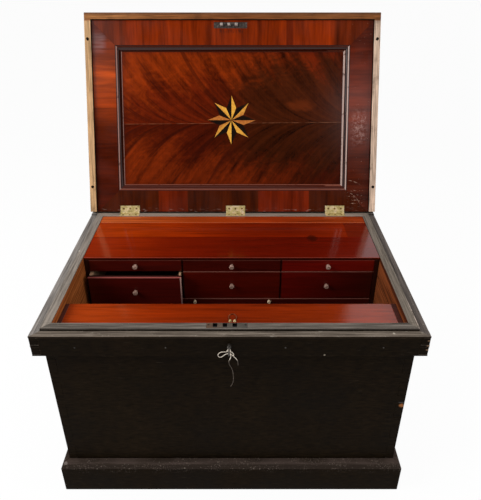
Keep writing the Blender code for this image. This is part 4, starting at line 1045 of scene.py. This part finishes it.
def make_lock_screws(material):
    """Two screws in the link plate on the lid, and two in the lock's top plate."""
    on_link = bmesh.new()
    on_lock = bmesh.new()
    for step, x in enumerate((LOCK_BOX[0].x + LOCK_INSET, LOCK_BOX[1].x - LOCK_INSET)):
        place = on_lid(x, PIN.y - LOCK_LINE, FRAME_PROUD)
        add_screw(on_link, place, LID_INWARD, LOCK_SCREW, 0.5 + step)
        place = (x, LOCK_LINE, LOCK_BOX[1].z - LOCK_SINK)
        add_screw(on_lock, place, (0, 0, 1), LOCK_SCREW, 1.1 - step)
    add_piece("link_plate_screws", on_link, material, "lid")
    add_piece("lock_case_screws", on_lock, material, "carcase")


def make_handle_screws(material):
    """Four screws in the corners of each handle's plate."""
    for name, side in (("left", -1), ("right", 1)):
        low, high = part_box(f"handle_plate_{name}")
        face = side * (CARCASE_WIDTH + HANDLE_PLATE)
        bm = bmesh.new()
        across = (low.y + HANDLE_INSET, high.y - HANDLE_INSET)
        upright = (low.z + HANDLE_INSET, high.z - HANDLE_INSET)
        for step, (y, z) in enumerate(product(across, upright)):
            add_screw(bm, (face, y, z), (side, 0, 0), HANDLE_SCREW, 0.4 + 0.8 * step)
        add_piece(f"handle_plate_{name}_screws", bm, material, "carcase")


def make_nails(material):
    """Round nail heads along the front skirt."""
    bm = bmesh.new()
    for x in NAIL_PLACES:
        add_turning(bm, (x, SKIRT_FACE + NAIL_SINK, NAIL_HEIGHT), (0, -1, 0), NAIL_PROFILE, NAIL_SIDES)
    add_piece("skirt_nails", bm, material, "carcase")


def make_pull(material, wire):
    """A small ring pull lying back on the saw till's cover, on two bright eyes."""
    eyes = bmesh.new()
    for x in EYE_PLACES:
        add_turning(eyes, (x, EYE_LINE, COVER_TOP - EYE_SINK), (0, 0, 1), EYE_PROFILE, EYE_SIDES)
    add_piece("cover_pull_eyes", eyes, material, "saw_till_lid")
    ring = bmesh.new()
    points = [(RING_PLACE[0] + RING_REACH[0] * sin(t), RING_PLACE[1] + RING_REACH[1] * cos(t),
               COVER_TOP + RING_LIFT) for t in turns(RING_STEPS)]
    add_ring(ring, points, RING_WIRE)
    add_piece("cover_pull_ring", ring, wire, "saw_till_lid")


def add_card(name, place, facing, size):
    bm = bmesh.new()
    bmesh.ops.create_grid(bm, x_segments=1, y_segments=1, size=0.5)
    bmesh.ops.scale(bm, vec=(*size, 1), verts=bm.verts)
    mesh = bpy.data.meshes.new(name)
    bm.to_mesh(mesh)
    bm.free()
    card = add_object(name, mesh)
    card.location = place
    card.rotation_euler = Vector(facing).to_track_quat("Z", "Y").to_euler()
    return card


def make_world():
    """White to the eye and in the polish, and a softer light on the object."""
    g = Graph("studio", "worlds")
    bpy.context.scene.world = g.owner
    ambient = g.tree.nodes["Background"]
    g.feed(ambient.inputs["Color"], WHITE)
    g.feed(ambient.inputs["Strength"], AMBIENT)
    g.blend(g.seen(), ambient, g.add("Background", {"Color": WHITE}), "World Output")


def make_stage():
    """The white floor, which keeps a little of the object's shadow, and the black cards."""
    floor = add_card("studio_floor", (0, 0, 0), (0, 0, 1), (FLOOR_SIZE, FLOOR_SIZE))
    g = Graph("studio_floor")
    g.colour = FLOOR_GREY
    floor.data.materials.append(g.finish(0.9, 0))
    glow = g.add("Emission", {"Color": WHITE, "Strength": 1})
    g.blend(g.all(g.seen(), FLOOR_SHARE), g.tree.nodes["Principled BSDF"], glow, "Material Output")
    flag = Graph("studio_flag")
    flag.colour = FLAG_BLACK
    black = flag.finish(1, 0)
    for name, place, facing, size in FLAGS:
        card = add_card(name, place, facing, size)
        card.data.materials.append(black)
        card.visible_camera = False
        card.visible_diffuse = False
        card.visible_shadow = facing[2] == 0


def make_lamps():
    for name, place, target, size, power, mirrored in LAMPS:
        data = bpy.data.lights.new(name, "AREA")
        data.shape = "RECTANGLE"
        data.size, data.size_y = size
        data.energy = power
        lamp = add_object(name, data)
        lamp.location = place
        lamp.rotation_euler = (Vector(target) - Vector(place)).to_track_quat("-Z", "Y").to_euler()
        lamp.visible_glossy = mirrored


def soften(piece, width):
    """Ease a solid's edges, as a worn piece has them."""
    weld = piece.modifiers.new("weld", "WELD")
    weld.merge_threshold = WELD
    flat = piece.modifiers.new("flat", "DECIMATE")
    flat.decimate_type = "DISSOLVE"
    flat.angle_limit = FLAT_ANGLE
    ease = piece.modifiers.new("ease", "BEVEL")
    ease.width = width
    ease.segments = 2
    ease.limit_method = "ANGLE"
    ease.angle_limit = EASE_ANGLE
    shade = piece.modifiers.new("shade", "WEIGHTED_NORMAL")
    shade.keep_sharp = False


def dress(material, width, *names):
    """Give solids a finish, and ease their edges by a width."""
    for name in names:
        piece = frame["nodes"][name]
        if not piece.data.materials:
            piece.data.materials.append(material)
        for slot in piece.material_slots:
            slot.material = material
        if width:
            soften(piece, width)


def named(*starts):
    """The names of the solids that start so."""
    return [name for name in frame["nodes"] if name.startswith(starts)]


make_camera()
make_twine()
make_world()
make_stage()
make_lamps()

iron = metal_material("iron", (34, 31, 28), (58, 54, 50), (92, 86, 80), 0.5, 0.6)
black_iron = metal_material("black_iron", (16, 14, 12), (28, 25, 22), (52, 47, 42), 0.5, 0.5)
brass = metal_material("brass", (168, 146, 84), (204, 184, 128), (222, 196, 164), 0.36, 0.4)
screw_brass = metal_material("screw_brass", (76, 50, 18), (108, 76, 30), (146, 108, 54), 0.45, 0.3)
bronze = metal_material("bronze", (84, 34, 10), (118, 56, 18), (150, 84, 34), 0.4, 0.3)
steel = metal_material("steel", (32, 29, 26), (54, 50, 46), (90, 84, 78), 0.5, 0.3)
bone = bone_material("bone", (104, 74, 62), (150, 116, 102), (186, 156, 142))
pale_bone = bone_material("pale_bone", (170, 140, 108), (206, 180, 146), (226, 206, 178))

paint = paint_material()
dress(paint, 0.0006, "front_wall", "back_wall", "left_wall", "right_wall")
dress(paint, 0.0012, *named("plinth", "skirt", "lid_board"))
dress(rim_material(), 0.001, *named("lid_rim"))
dress(band_material(), 0.0004, "lid_frame")
dress(flame_material(), 0, "lid_panel")
dress(till_top_material(), 0.001, "till_top")
dress(strip_material(), 0.0008, "till_rear_strip")
dress(cover_material(), 0.0012, "saw_till_cover")
till_boards = named("till_end", "till_bottom", "till_shelf", "till_divider")
dress(fitting_material(), 0.0006, "saw_till_back", "floor", *till_boards)
for drawer, (left, right) in DRAWER_TINTS.items():
    dress(drawer_material(drawer, left, right), 0.0008, drawer)
dress(bone, 0, *named("knob_upper", "knob_lower"))
dress(pale_bone, 0, *named("knob_long"))
dress(brass, 0.0003, *named("hinge"))
dress(link_material(), 0.0003, "link_plate")
dress(lock_material(), 0.0003, "lock_case")
dress(iron, 0.0003, "lock_bolt")
dress(steel, 0.0003, "key")
dress(black_iron, 0.0003, *named("handle"))

make_star()
make_hinge_screws(screw_brass)
make_lock_screws(iron)
make_handle_screws(black_iron)
make_nails(iron)
make_pull(brass, bronze)

bpy.context.scene.view_settings.view_transform = "Standard"
